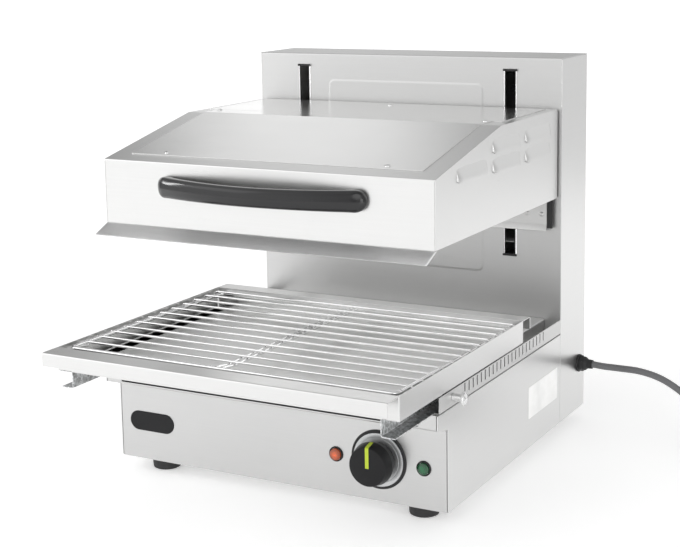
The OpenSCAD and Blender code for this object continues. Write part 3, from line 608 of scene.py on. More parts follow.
def heated_steel(name):
    """Element tube with straw and blue heat tints along it."""
    look, tree, shader = surface(name, metallic=1.0)
    wide = noise(tree, node(tree, "TexCoord").outputs["Object"], 16.0, 3.0)
    ramp = node(tree, "ValToRGB", {"Fac": wide})
    stops = ramp.color_ramp.elements
    stops[0].position, stops[0].color = 0.3, (0.13, 0.10, 0.09, 1.0)
    stops[1].position, stops[1].color = 0.7, (0.30, 0.25, 0.20, 1.0)
    stops.new(0.5).color = (0.17, 0.16, 0.19, 1.0)
    tree.links.new(ramp.outputs["Color"], shader.inputs["Base Color"])
    tree.links.new(spread(tree, wide, 0.3, 0.7, 0.38, 0.55), shader.inputs["Roughness"])
    return look


def galvanised(name, base):
    """Zinc-coated rail with its crystal flakes."""
    look, tree, shader = surface(name, metallic=1.0)
    where = node(tree, "TexCoord").outputs["Object"]
    flakes = node(tree, "TexVoronoi", {"Vector": where, "Scale": 420.0}).outputs["Color"]
    tone = node(tree, "SeparateColor", {"Color": flakes}).outputs["Red"]
    tree.links.new(tinted(tree, spread(tree, tone, 0.0, 1.0, 0.6, 1.35), base),
                   shader.inputs["Base Color"])
    tree.links.new(spread(tree, tone, 0.0, 1.0, 0.34, 0.6), shader.inputs["Roughness"])
    return look


def lamp_lens(name, base, glow, piece):
    """Tinted lens, ribbed and brighter over its faintly glowing core."""
    look, tree, shader = surface(name, coat_weight=0.6, coat_roughness=0.05,
                                 emission_strength=glow)
    where = node(tree, "TexCoord").outputs["Object"]
    cells = node(tree, "TexVoronoi", {"Vector": where, "Scale": 620.0}).outputs["Distance"]
    radius = off_axis(tree, where, (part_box(piece)[0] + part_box(piece)[1]) / 2)
    tone = sums(tree, "MULTIPLY", spread(tree, cells, 0.0, 0.7, 1.4, 0.7),
                spread(tree, radius, 0.001, 0.0055, 1.5, 0.7))
    tint = tinted(tree, tone, base)
    tree.links.new(tint, shader.inputs["Base Color"])
    tree.links.new(tint, shader.inputs["Emission Color"])
    tree.links.new(spread(tree, cells, 0.0, 0.7, 0.12, 0.3), shader.inputs["Roughness"])
    bump = node(tree, "Bump", {"Strength": 0.3, "Distance": 0.0004, "Height": cells})
    tree.links.new(bump.outputs[0], shader.inputs["Normal"])
    return look


def spun_plate(name, base):
    """Spun aluminium of the dial."""
    look, tree, shader = surface(name, metallic=1.0, anisotropic=0.5)
    middle = (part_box("dial_plate")[0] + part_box("dial_plate")[1]) / 2
    tree.links.new(node(tree, "Tangent", direction_type="RADIAL", axis="Y").outputs[0],
                   shader.inputs["Tangent"])
    feed(tree, shader, place_group(tree, spun_rings, Centre=middle, Roughness=0.55,
                                   Depth=0.5), base)
    return look


def finishes(hue):
    """Every finish by name: the record's material slot, and how to make it."""
    return {
        "front sheet": ("brushed_sheet", lambda n: sheet(n, hue.steel, ALONG_X)),
        # Painted shade: the panel sheet and the tower sheet take the darkened steel colour below.
        "panel sheet": ("brushed_sheet", lambda n: sheet(n, hue.tower, ALONG_X)),
        "side sheet": ("brushed_sheet", lambda n: sheet(n, hue.steel, ALONG_Y)),
        "tower sheet": ("brushed_sheet", lambda n: sheet(n, hue.tower, ALONG_X, 0.42)),
        "cover sheet": ("brushed_sheet", lambda n: sheet(n, hue.steel, ALONG_X, 0.21)),
        # Painted light: the lip is the hood's steel given a near-white colour, so it reads bright.
        "lip sheet": ("brushed_sheet", lambda n: sheet(n, (0.93, 0.93, 0.93), ALONG_X, 0.55)),
        "deck sheet": ("deck_sheet", lambda n: sheet(n, hue.deck, ALONG_Y, 0.4)),
        "reflector": ("reflector_sheet", lambda n: sheet(n, hue.deck, ALONG_X, 0.24)),
        "rail": ("rail_metal", lambda n: galvanised(n, hue.rail)),
        "chrome": ("chrome_wire", lambda n: moulding(n, hue.chrome, 0.13, 0.06, 0.02, 900.0,
                                                     metallic=1.0)),
        "turned": ("bright_steel", lambda n: moulding(n, hue.chrome, 0.2, 0.1, 0.04, 1800.0,
                                                      metallic=1.0)),
        "spun": ("spun_aluminium", lambda n: spun_plate(n, hue.rail)),
        "gloss black": ("black_gloss", lambda n: moulding(
            n, hue.black, 0.18, 0.08, 0.02, 700.0, coat_weight=0.3, coat_roughness=0.05,
            specular_ior_level=0.36)),
        "satin black": ("black_gloss", lambda n: moulding(n, hue.black, 0.34, 0.1, 0.03, 900.0,
                                                          specular_ior_level=0.22)),
        "matte black": ("black_matte", lambda n: moulding(n, hue.dark, 0.42, 0.15, 0.08,
                                                          specular_ior_level=0.3)),
        "rubber": ("black_rubber", lambda n: moulding(n, hue.dark, 0.6, 0.2, 0.14, 1100.0)),
        "pointer": ("pointer_green", lambda n: moulding(n, hue.pointer, 0.45)),
        "red lens": ("lens_red", lambda n: lamp_lens(n, hue.red, 0.4, "heating_lamp_lens")),
        "green lens": ("lens_green", lambda n: lamp_lens(n, hue.green, 0.2, "power_lamp_lens")),
        "label": ("label_white", lambda n: moulding(n, hue.white, 0.38, 0.1, 0.03)),
        "bakelite": ("bakelite", lambda n: moulding(n, (0.33, 0.20, 0.09), 0.45)),
        "ceramic": ("ceramic_white", lambda n: moulding(n, (0.72, 0.69, 0.62), 0.5, 0.15, 0.2,
                                                        800.0)),
        "heated": ("heater_steel", heated_steel),
        "dark steel": ("dark_steel", lambda n: moulding(n, (0.03, 0.03, 0.033), 0.32, 0.12, 0.06,
                                                        coat_weight=0.2)),
        "cast": ("cast_grey", lambda n: moulding(n, (0.07, 0.072, 0.075), 0.5, 0.2, 0.3, 700.0,
                                                 metallic=0.6)),
        "cord": ("cord_grey", lambda n: moulding(n, hue.cord, 0.38, 0.1, 0.06, 1500.0)),
    }


MADE = {}


def finish(name):
    """A finish's material, made on its first use, and its slot."""
    slot, maker = finishes(bpy.context.scene.melter_colours)[name]
    if name not in MADE:
        MADE[name] = maker(name)
    return MADE[name], slot


def coat(name, *nodes):
    """Gives carried-over CAD nodes a finish."""
    look, _ = finish(name)
    for each in nodes:
        for slot in frame["nodes"][each].material_slots:
            slot.link = "OBJECT"
            slot.material = look


# ---------------------------------------------------------------- camera, lights and floor

CAMERA_AT = (873.04, -1416.55, 620.75)
CAMERA_TURN = (28.815, 9.631, -1.007)   # round the object, up, and roll, in degrees


class MELTER_OT_camera(bpy.types.Operator):
    """Places the camera at the photograph's viewing angle."""
    bl_idname = "melter.camera"
    bl_label = "Camera"

    def execute(self, context):
        turn, up, roll = (math.radians(a) for a in CAMERA_TURN)
        back = Vector((math.sin(turn) * math.cos(up), -math.cos(turn) * math.cos(up),
                       math.sin(up)))
        right = (-back).cross(Vector((0, 0, 1))).normalized()
        over = right.cross(-back)
        level = math.cos(roll) * right + math.sin(roll) * over
        over = -math.sin(roll) * right + math.cos(roll) * over
        lens = bpy.data.cameras.new("camera")
        lens.lens = 77.587
        lens.sensor_width = 36
        lens.sensor_fit = "HORIZONTAL"
        lens.shift_y = -0.108
        lens.clip_end = 50
        camera = bpy.data.objects.new("camera", lens)
        context.scene.collection.objects.link(camera)
        axes = Matrix((level, over, back)).transposed().to_4x4()
        camera.matrix_world = Matrix.Translation(at(*CAMERA_AT)) @ axes
        context.scene.camera = camera
        return {"FINISHED"}


# Light round the melter: (aim, where it starts, where it is full, strength).
AROUND = 0.18
PATCHES = (
    ((-0.54, -0.83, 0.10), 0.4, 0.985, 1.1),
    ((-0.498, 0.739, 0.454), 0.989, 0.9985, 1.0),
    ((0.38, 0.88, 0.20), 0.62, 0.98, 0.7),
    ((-0.48, 0.86, 0.10), 0.93, 0.99, 0.3),
    ((-0.49, 0.866, 0.10), 0.985, 0.9985, 0.9),
    ((-0.30, 0.00, 1.00), 0.62, 0.88, 0.55),
    ((0.92, -0.25, 0.30), 0.6, 0.95, 0.5),
    ((0.62, -0.70, 0.34), 0.88, 0.97, 1.5),
)
# Lamps: (name, place, target, size, power), in metres in the row's frame.
LAMPS = (
    ("key light", (-2.2, -2.0, 2.0), (0, 0, 0.2), (1.8, 1.6), 6),
    ("edge light", (-2.4, -0.9, 1.1), (0, -0.2, 0.3), (0.2, 1.0), 9),
    ("corner light", (2.0, -1.15, 0.22), (0.2, 0, 0.3), (0.5, 0.5), 1.8),
    ("grill light", (0, 0.02, 0.312), (0, 0.02, 0), (0.36, 0.24), 0.32),
)
GLOW_NEAR, GLOW_FAR = 0.34, 0.46
FLOOR_R = 2.4
BACKDROP = 1.25


class MELTER_OT_stage(bpy.types.Operator):
    """Lays the pale floor and sets the soft studio light."""
    bl_idname = "melter.stage"
    bl_label = "Studio"

    def floor(self, hue):
        """A round pale table top that glows a little, more so away from the melter."""
        rim = [(FLOOR_R * c, FLOOR_R * s, 0) for c, s in circle(96)]
        floor = make("studio_floor", rim, [tuple(range(len(rim)))])
        look, tree, shader = surface("studio floor", roughness=0.6, emission_strength=1.0)
        where = node(tree, "TexCoord").outputs["Object"]
        tone = spread(tree, noise(tree, where, 3.0), 0.3, 0.7, 0.99, 1.0)
        tree.links.new(tinted(tree, tone, hue.floor), shader.inputs["Base Color"])
        away = vectors(tree, "LENGTH", where)
        glow = spread(tree, away, 0.35, 1.6, GLOW_NEAR, GLOW_FAR)
        tree.links.new(grey(tree, glow), shader.inputs["Emission Color"])
        floor.data.materials.append(look)
        return floor

    def world(self, scene):
        """White to look at, and soft patches of light round the melter to light with."""
        world = bpy.data.worlds.new("studio")
        world.use_nodes = True
        scene.world = world
        sky = world.node_tree
        plain = sky.nodes["Background"]
        plain.inputs["Color"].default_value = (1.0, 1.0, 1.0, 1.0)
        plain.inputs["Strength"].default_value = BACKDROP
        way = node(sky, "TexCoord").outputs["Generated"]
        shade = AROUND
        for aim, start, full, power in PATCHES:
            dot = vectors(sky, "DOT_PRODUCT", way, Vector(aim).normalized())
            shade = sums(sky, "ADD", spread(sky, dot, start, full, 0.0, power), shade)
        soft = node(sky, "Background", {"Color": grey(sky, shade), "Strength": 1.0})
        seen = node(sky, "LightPath").outputs["Is Camera Ray"]
        mix = node(sky, "MixShader", {0: seen, 1: soft.outputs[0], 2: plain.outputs[0]})
        sky.links.new(mix.outputs[0], sky.nodes["World Output"].inputs["Surface"])

    def execute(self, context):
        self.floor(context.scene.melter_colours)
        self.world(context.scene)
        for name, place, target, size, power in LAMPS:
            data = bpy.data.lights.new(name, "AREA")
            data.shape = "RECTANGLE"
            data.size, data.size_y = size
            data.energy = power
            light = bpy.data.objects.new(name, data)
            light.location = place
            aim = Vector(target) - Vector(place)
            light.rotation_euler = aim.to_track_quat("-Z", "Y").to_euler()
            light.visible_camera = False
            context.scene.collection.objects.link(light)
        context.scene.view_settings.view_transform = "Standard"
        return {"FINISHED"}


# ---------------------------------------------------------------- cord, coil and plug

RUN = [(229, 427, 63.5), (246, 427, 63.5), (261, 428, 62.3), (282, 429, 62), (310, 430, 61),
       (337, 430, 55), (362, 431, 42), (384, 432, 24), (405, 434, 6), (427, 436, -7)]
PLUG_AT = (533, 328, 0.2)


def coil_line(size, low):
    """The coil's turns: inwards on the floor, then outwards on top of themselves."""
    turns, step = size.coil_turns, size.coil_step
    count = round(turns * 56)
    line = []
    for i in range(count + 1):
        t = turns * i / count
        r = size.coil_radius - step * min(t, turns - t)
        a = math.radians(90 - 360 * t)
        climb = ease((t - turns / 2 + 0.25) / 0.5)
        line.append(Vector((COIL_X + r * math.cos(a), COIL_Y + r * math.sin(a),
                            low + step * climb)))
    return line


class MELTER_OT_cord(bpy.types.Operator):
    """Lays the cord from the gland to its plug, with its coil, tie and gland."""
    bl_idname = "melter.cord"
    bl_label = "Cord"

    def execute(self, context):
        size = context.scene.melter_sizes
        low = FLOOR_Z + 1.2 + size.cord / 2
        high = low + size.coil_step
        coil = coil_line(size, low)
        line = curved(RUN + [(448, 437, low), coil[0]], 8)[:-1] + coil
        x, y, z = PLUG_AT
        away = [(532 + d / 40, COIL_Y - d, high + (z - high) * d / 47) for d in (9, 22, 35)]
        line += curved([coil[-1]] + away + [(x, y + 2, z), (x, y - 8, z)], 6)[1:]
        data = bpy.data.curves.new("cord", "CURVE")
        data.dimensions = "3D"
        data.bevel_depth = size.cord / 2 * MM
        data.bevel_resolution = 5
        data.use_fill_caps = True
        spline = data.splines.new("POLY")
        spline.points.add(len(line) - 1)
        for point, place in zip(spline.points, line):
            point.co = (*at(*place), 1)
        cord = bpy.data.objects.new("cord", data)
        context.scene.collection.objects.link(cord)
        dress(cord, "base", "cord", "cord_run", "cord_coil")
        plug = self.plug()
        total = sum((b - a).length for a, b in zip(line, line[1:]))
        self.tie(size, low, high)
        self.gland()
        size.cord * MM
        return {"FINISHED"}

    def plug(self):
        """The moulded plug on its side, with its two pins and its ribbed neck."""
        x, y, z = PLUG_AT
        rows = ((0, 6.0, 6.0), (-1, 6.6, 6.6), (-14, 8.0, 7.6), (-17, 9.5, 8.8), (-24, 14.5, 13.0),
                (-32, 17.4, 16.2), (-44, 18.0, 17.4), (-49, 17.6, 17.0), (-50, 16.6, 16.0))
        body = loft("plug", [[at(x + rx * swell(c, 0.85), y + dy, z + rz * swell(s, 0.85))
                              for c, s in circle(32)] for dy, rx, rz in rows])
        rings = []
        for k in range(4):
            r = 9.6 - 0.12 * k
            rings.append(lathe("ring", [(r, 0), (r + 0.5, 0.7), (r, 1.4), (6, 1.4), (6, 0)],
                               (x, y - 3.2 * k - 1.6, z), FORWARD, 32))
        plug = soften(join("plug", [body] + rings), 0.3, 2, 40)
        dress(plug, "base", "rubber", "plug_body")
        pins = [lathe("pin", [(0, 0), (2.4, 0), (2.4, 17), (1.6, 19), (0, 19)],
                      (x + e, y - 50, z), FORWARD, 24) for e in (-9.5, 9.5)]
        dress(sharpen(join("plug_pins", pins)), "base", "turned")
        return plug

    def tie(self, size, low, high):
        """The strap round the coil's left side."""
        edge, left = size.cord / 2, COIL_X - size.coil_radius
        x0, x1 = left + size.coil_step / 2 - edge, left + 1.75 * size.coil_step + edge
        x, z0, z1 = (x0 + x1) / 2, low - edge - 0.6, high + edge + 0.6
        rim = [(x, z0), (x1 + 0.6, z0), (x1 + 0.6, z1), (x0 - 0.6, z1), (x0 - 0.6, z0), (x, z0)]
        band = prism("coil_tie_strap", folded(rim, 0.8, 4.6), COIL_Y - 6, COIL_Y + 6, deep)
        dress(soften(weld(band), 0.2), "base", "rubber", "coil_tie")

    def gland(self):
        """The gland in the tower's side: flange, nut and the tapered sleeve on the cord."""
        g = span("cable_gland")
        r, tip, foot = g.y1 - g.y, g.x1 - HALF, (HALF, g.y, g.z)
        stem = lathe("stem", [(0, -12), (7.6, -12), (7.6, -0.1), (r - 0.4, 0), (r, 0.5), (r, 1.8),
                              (r - 0.6, 2.4), (9.4, 2.4), (9.4, 9.5), (8.8, 10.6), (7.4, 12.4),
                              (6.4, 13.2), (6.0, tip), (4.6, tip), (4.6, 8), (0, 8)], foot, RIGHT)
        nut = lathe("nut", [(0, 2.2), (10.4, 2.2), (11.2, 2.9), (11.2, 6.6), (10.4, 7.4),
                            (0, 7.4)], foot, RIGHT, 6)
        dress(soften(join("gland", [stem, nut]), 0.3), "base", "matte black", "cable_gland")


# ---------------------------------------------------------------- small parts

def screw_top(place, axis, radius, height=1.6):
    """A domed screw head with a cross recess."""
    dome = [(radius * r, height * h) for r, h in ((0, 0), (1, 0), (1, 0.25), (0.92, 0.55),
                                                  (0.7, 0.85), (0.4, 0.98), (0, 1))]
    head = lathe("head", dome, (0, 0, 0), UP, 40)
    cut(head, *(block("arm", (-radius * a, -radius * b, height * 0.45),
                      (radius * a, radius * b, height * 2))
                for a, b in ((0.55, 0.11), (0.11, 0.55))))
    turn = Vector(UP).rotation_difference(Vector(axis)).to_matrix().to_4x4()
    head.data.transform(Matrix.Translation(at(*place)) @ turn @ Matrix.Translation(-at(0, 0, 0)))
    return sharpen(head)


def arm_gap(side, y):
    """A gap for a hood arm, from y to behind the hood."""
    x = side * SLOT.x
    return block("gap", (x - 3.5, y, ARM.z0 - 1), (x + 3.5, HOOD.y1 + 2, ARM.z1 + 1))


def louvre(place, low, high, foot, height, out, thick=0.8):
    """A pressed louvre between low and high: open along its foot, sloping back at its top."""
    rows, cols, lean = 7, 22, 0.22
    n, under = rows + 1, (cols + 1) * (rows + 1)
    reach = min(12.0, (high - low) / 3)
    verts = []
    for lift in (0.0, -thick):
        for i in range(cols + 1):
            u = low + (high - low) * (0.5 - 0.5 * math.cos(math.pi * i / cols))
            edge = min(u - low, high - u)
            full = math.sqrt(max(0.0, 1 - (1 - min(edge / reach, 1)) ** 2))
            for j in range(n):
                t = j / rows
                rise = foot + height * t * (0.55 + 0.45 * full) + height * 0.25 * (1 - full)
                back = max(t - lean, 0) / (1 - lean)
                bulge = out * full * math.cos(back * math.pi / 2) ** 1.25
                verts.append(place(u, rise, max(bulge + lift, -0.3)))
    faces = []
    for i in range(cols):
        for a in range(i * n, i * n + rows):
            faces += [(a, a + n, a + n + 1, a + 1),
                      (under + a, under + a + 1, under + a + n + 1, under + a + n)]
        foot_, head = i * n, i * n + rows
        faces += [(foot_, under + foot_, under + foot_ + n, foot_ + n),
                  (head, head + n, under + head + n, under + head)]
    for first in (0, cols * n):
        faces += [(a, a + 1, under + a + 1, under + a) for a in range(first, first + rows)]
    return make("louvre", verts, faces)


# ---------------------------------------------------------------- base

class MELTER_OT_base(bpy.types.Operator):
    """Folds the base: front with its nose, sides, deck with its grooves and vents."""
    bl_idname = "melter.base"
    bl_label = "Base"

    def execute(self, context):
        size = context.scene.melter_sizes
        groove, seam = HALF - GROOVE, INNER - 0.7
        step = [(0, STEP_LOW), (-NOSE, STEP_HIGH), (-NOSE, LEDGE)]
        front = prism("base_front", folded([(0, 0)] + step, -SHEET, 3.2), -seam, seam, across)
        brow = block("brow", (SHEET - groove, -NOSE, STEP_HIGH + SHEET),
                     (groove - SHEET, SHEET - NOSE, DECK.z1 - SHEET))
        front = join("base_front", [front, brow])
        dress(soften(front, size.edge), "base", "panel sheet", "base_front_panel")
        rim = fillet([(TOWER.y0, 0), (0, 0)] + step + [(TOWER.y0, LEDGE)], 1.6, 3)
        for side, name in pair("base_side"):
            wall = prism("wall", rim, side * INNER, side * HALF, across)
            shelf = block("shelf", (side * groove, SHEET - NOSE, LEDGE - SHEET),
                          (side * HALF, TOWER.y0, LEDGE))
            whole = join(name.replace("base_side", "side"), [wall, shelf])
            dress(soften(whole, size.edge), "base", "side sheet", name)
        self.deck(size, groove)
        return {"FINISHED"}

    def deck(self, size, groove):
        """The deck with its open grooves, the slots in their walls, and its front lip."""
        top, low = DECK.z1, DECK.z1 - SHEET
        line = [(HALF, top), (HALF, LEDGE), (groove - SHEET, LEDGE), (groove - SHEET, low)]
        rim = folded(line + [(-x, z) for x, z in line[::-1]], -SHEET, 1.4)
        deck = prism("deck", rim, 5 - NOSE, TOWER.y0, deep)
        slots = []
        for side in (-1, 1):
            for i in range(size.vents):
                y = VENT_Y + VENT_PITCH * i
                rim = rounded(y, low - VENT_H, y + VENT_W, low, 0.8, 3)
                slots.append(prism("slot", rim, side * (HALF - 3), side * (HALF + 1), across))
        cut(deck, join("slots", slots))
        lip = block("lip", (-groove, -NOSE, low), (groove, 6 - NOSE, top))
        deck = join("deck_sheet", [deck, lip])
        dress(soften(deck, size.edge, 2, 40), "base", "deck sheet", "base_deck")


class MELTER_OT_feet(bpy.types.Operator):
    """Turns the rubber feet."""
    bl_idname = "melter.feet"
    bl_label = "Feet"

    def execute(self, context):
        f = span("feet")
        r, h = FOOT_R, -f.z0
        profile = [(0, 0), (r - 3.4, 0), (r - 1.9, 0.8), (r - 1.5, 2), (r - 0.4, h - 2.5),
                   (r, h - 1.4), (r, h), (0, h)]
        feet = [lathe("foot", profile, (x, y, f.z0), UP, 56)
                for x in (f.x0 + r, f.x1 - r) for y in (f.y0 + r, f.y1 - r)]
        dress(soften(join("rubber_feet", feet), 0.4), "base", "rubber", "feet")
        return {"FINISHED"}


class MELTER_OT_controls(bpy.types.Operator):
    """Makes the blank plate, dial, knob, pointer and lamps."""
    bl_idname = "melter.controls"
    bl_label = "Controls"

    def execute(self, context):
        n = span("nameplate_blank")
        pill = rounded(n.x0, n.z0, n.x1, n.z1, (n.z1 - n.z0) / 2 - 0.01, 16)
        plate = prism("blank_plate", pill, n.y0, 0, deep)
        dress(soften(plate, 0.45, 3), "base", "satin black", "nameplate_blank")
        self.dial()
        self.knob()
        for name, look, lens in (("red_lamp", "red lens", "heating_lamp_lens"),
                                 ("green_lamp", "green lens", "power_lamp_lens")):
            s = span(lens)
            r = s.x1 - s.x
            dome = [(0, -14), (r - 2, -14), (r - 2, 0), (r, 0), (r, 3.0), (r - 0.5, 3.6),
                    (r - 2.2, 4.3), (0, 4.8)]
            lamp = lathe(name, dome, (s.x, 0, s.z), FORWARD, 48)
            dress(soften(lamp, 0.2), "base", look, lens)
        b = span("lamp_bezels")
        rim = [(7.3, 0), (BEZEL_R, 0), (BEZEL_R, 1.1), (8.5, 1.8), (7.9, 2.0), (7.3, 1.6),
               (7.3, 0)]
        rings = [lathe("bezel", rim, (x, 0, b.z), FORWARD, 48)
                 for x in (b.x0 + BEZEL_R, b.x1 - BEZEL_R)]
        dress(soften(join("bezels", rings), 0.15), "base", "matte black", "lamp_bezels")
        return {"FINISHED"}

    def dial(self):
        """The black rim and the spun disc round the knob."""
        d = span("dial_ring")
        r, foot = d.x1 - d.x, (d.x, 0, d.z)
        rim = [(31.7, 0), (r, 0), (r, 0.9), (r - 0.8, 1.4), (32.2, 1.4), (31.7, 1.0), (31.7, 0)]
        ring = lathe("dial_rim", rim, foot, FORWARD, 96)
        dress(sharpen(ring), "base", "matte black", "dial_ring")
        dish = [(4.2, 0), (31.6, 0), (31.6, 2.3), (31.3, 2.75), (30.8, 2.9), (26.6, 2.35),
                (26.4, 2.05), (26.1, 2.0), (25.8, 2.25), (6, 1.9), (4.2, 1.9), (4.2, 0)]
        disc = lathe("dial_disc", dish, foot, FORWARD, 96)
        dress(sharpen(disc, 30), "base", "spun", "dial_plate")

    def knob(self):
        """The knob, and its mark that runs over the edge."""
        k = span("knob")
        x, z, r, face, foot = k.x, k.z, k.x1 - k.x, -k.y0, -k.y1
        body = [(0, foot), (r - 5.6, foot), (r - 5.2, foot + 0.4), (r - 2.2, foot + 9),
                (r - 1.3, foot + 12.6), (r - 1.0, foot + 13.8), (r - 1.1, foot + 15),
                (r - 3.6, face - 0.8), (r - 4.0, face - 0.25), (r - 4.6, face), (0, face)]
        knob = lathe("control_knob", body, (x, 0, z), FORWARD, 112)
        dress(sharpen(knob, 50), "knob", "satin black", "knob")
        line = [(-face - 0.25, z - 1.5), (-face - 0.25, z + r - 4.4), (-face + 0.6, z + r - 3.3),
                (-foot - 15, z + r - 0.85)]
        mark = prism("knob_mark", folded(line, -1.2, 0.9), x - 2.2, x + 2.2, across)
        dress(soften(mark, 0.3, 3), "knob", "pointer", "knob_pointer")


class MELTER_OT_side_parts(bpy.types.Operator):
    """Makes the blank label and the thumb screw on the right side."""
    bl_idname = "melter.side_parts"
    bl_label = "Label and thumb screw"

    def execute(self, context):
        s = span("rating_label")
        label = prism("blank_label", rounded(s.y0, s.z0, s.y1, s.z1, 1.6, 4), s.x0, s.x1, across)
        dress(soften(label, 0.08), "base", "label", "rating_label")
        t = span("thumb_screw")
        foot, tail, out, r = (HALF, t.y, t.z), t.x0 - HALF, t.x1 - HALF, t.y1 - t.y
        shape = [(0, tail), (3, tail), (3, 0.3), (5, 0.3), (4.9, 1.2), (4.0, out - 4.2),
                 (4.4, out - 3.5), (r - 0.9, out - 3.5), (r, out - 2.8), (r, out - 0.8),
                 (r - 0.9, out), (4.4, out), (3.6, out - 0.5), (0, out - 0.5)]
        screw = lathe("locking_screw", shape, foot, RIGHT, KNURLS)
        for v in screw.data.vertices:
            away = v.co - at(*foot)
            away.x = 0
            turn = round(math.atan2(away.z, away.y) / math.tau * KNURLS)
            if away.length > (r - 0.05) * MM and turn % 2:
                v.co -= away.normalized() * 0.28 * MM
        dress(sharpen(screw, 40), "thumb_screw", "turned", "thumb_screw")
        return {"FINISHED"}


# ---------------------------------------------------------------- tray and grid

class MELTER_OT_tray(bpy.types.Operator):
    """Folds the drip tray with its lips and rails."""
    bl_idname = "melter.tray"
    bl_label = "Drip tray"

    def execute(self, context):
        low, top, half, rear = TRAY.z0, TRAY.z1, TRAY.x1, TOWER.y0 - TRAY_GAP
        pan = prism("tray", rounded(-half, TRAY_FRONT, half, rear, 1.6, 3), low, top, upright)
        rim = rounded(SHEET - half, TRAY_FRONT + SHEET, half - SHEET, rear - SHEET, 1.0, 3)
        cut(pan, prism("inner", rim, low + SHEET, top + 5, upright))
        parts = [pan]
        for y, edge, fold in ((TRAY_FRONT + SHEET / 2, TRAY.y0, SHEET),
                              (rear - SHEET / 2, TRAY.y1, -SHEET)):
            line = [(y, top), (edge, top), (edge, top - LIP_DROP)]
            parts.append(prism("lip", folded(line, fold, 2.0), -half, half, across))
        pan = join("drip_tray", parts)
        dress(soften(pan, 0.35, 2, 40), "tray", "front sheet", "tray_pan")
        for side, name in pair("tray_rail"):
            r = span(name)
            x, w = min(abs(r.x0), abs(r.x1)), r.x1 - r.x0
            line = [(side * (x + w - 2), r.z0), (side * x, r.z0), (side * x, r.z1),
                    (side * (x + w), r.z1)]
            rail = prism(name.replace("tray_", ""), folded(line, side * SHEET, 1.6), r.y0, r.y1,
                         deep)
            dress(soften(rail, 0.2), "tray", "rail", name)
        return {"FINISHED"}


class MELTER_OT_grid(bpy.types.Operator):
    """Bends the wire grid."""
    bl_idname = "melter.grid"
    bl_label = "Wire grid"

    def execute(self, context):
        size = context.scene.melter_sizes
        g = span("grid_frame")
        thick, thin = size.frame_wire / 2, size.wire / 2
        half, z = TRAY.x1 - 10, g.z1 - thick
        front, rear = g.y0 + thick, g.y1 - thick
        supports = [[(x, front, z + 3.5), (x, front + 12, z + 2.7), (x, front + 26, z + 0.5),
                     (x, rear, z + 0.5)] for x in (-12, -4)]
        legs = [[(x, y, z), (x, y, TRAY.z0 + SHEET + 2.0)]
                for x in (-half, half) for y in (front + 10, rear - 10)]
        frame = join("grid_ring", [
            swept("frame", [self.ring(half, front, rear, z)], thick - 0.15, 16),
            swept("supports", supports, 2.0, 14),
            swept("legs", legs, 2.1, 14)])
        dress(sharpen(frame, 50), "grid", "chrome", "grid_frame")
        top, end = span("grid_wires").z1 - thin, half + thick + 0.9
        first, last = front + 30.5, rear - 7.3
        wires = []
        for i in range(WIRES):
            y = first + (last - first) * i / (WIRES - 1)
            line = [(end + 1.8, y, top - 4.4), (end + 1.75, y, top - 2.6),
                    (end + 1.1, y, top - 1.0), (end - 0.4, y, top - 0.15), (end - 2.5, y, top)]
            wires.append([(-p[0], p[1], p[2]) for p in line] + line[::-1])
        wires = swept("cross_wires", wires, thin, 14)
        dress(sharpen(wires, 50), "grid", "chrome", "grid_wires")
        return {"FINISHED"}

    def ring(self, half, front, rear, z):
        """The line of the frame's ring, which rises at its front."""
        bend = 7.0
        rim = rounded(-half, front, half, rear, bend)
        left = [(-half, front + bend + step) for step in range(3, 27, 3)]
        right = [(half, y) for _, y in left[::-1]]
        rim = rim[:18] + left + rim[18:] + right
        return [(x, y, z + 4.0 * ease((front + bend + 24 - y) / 20)) for x, y in rim + rim[:1]]


# ---------------------------------------------------------------- tower

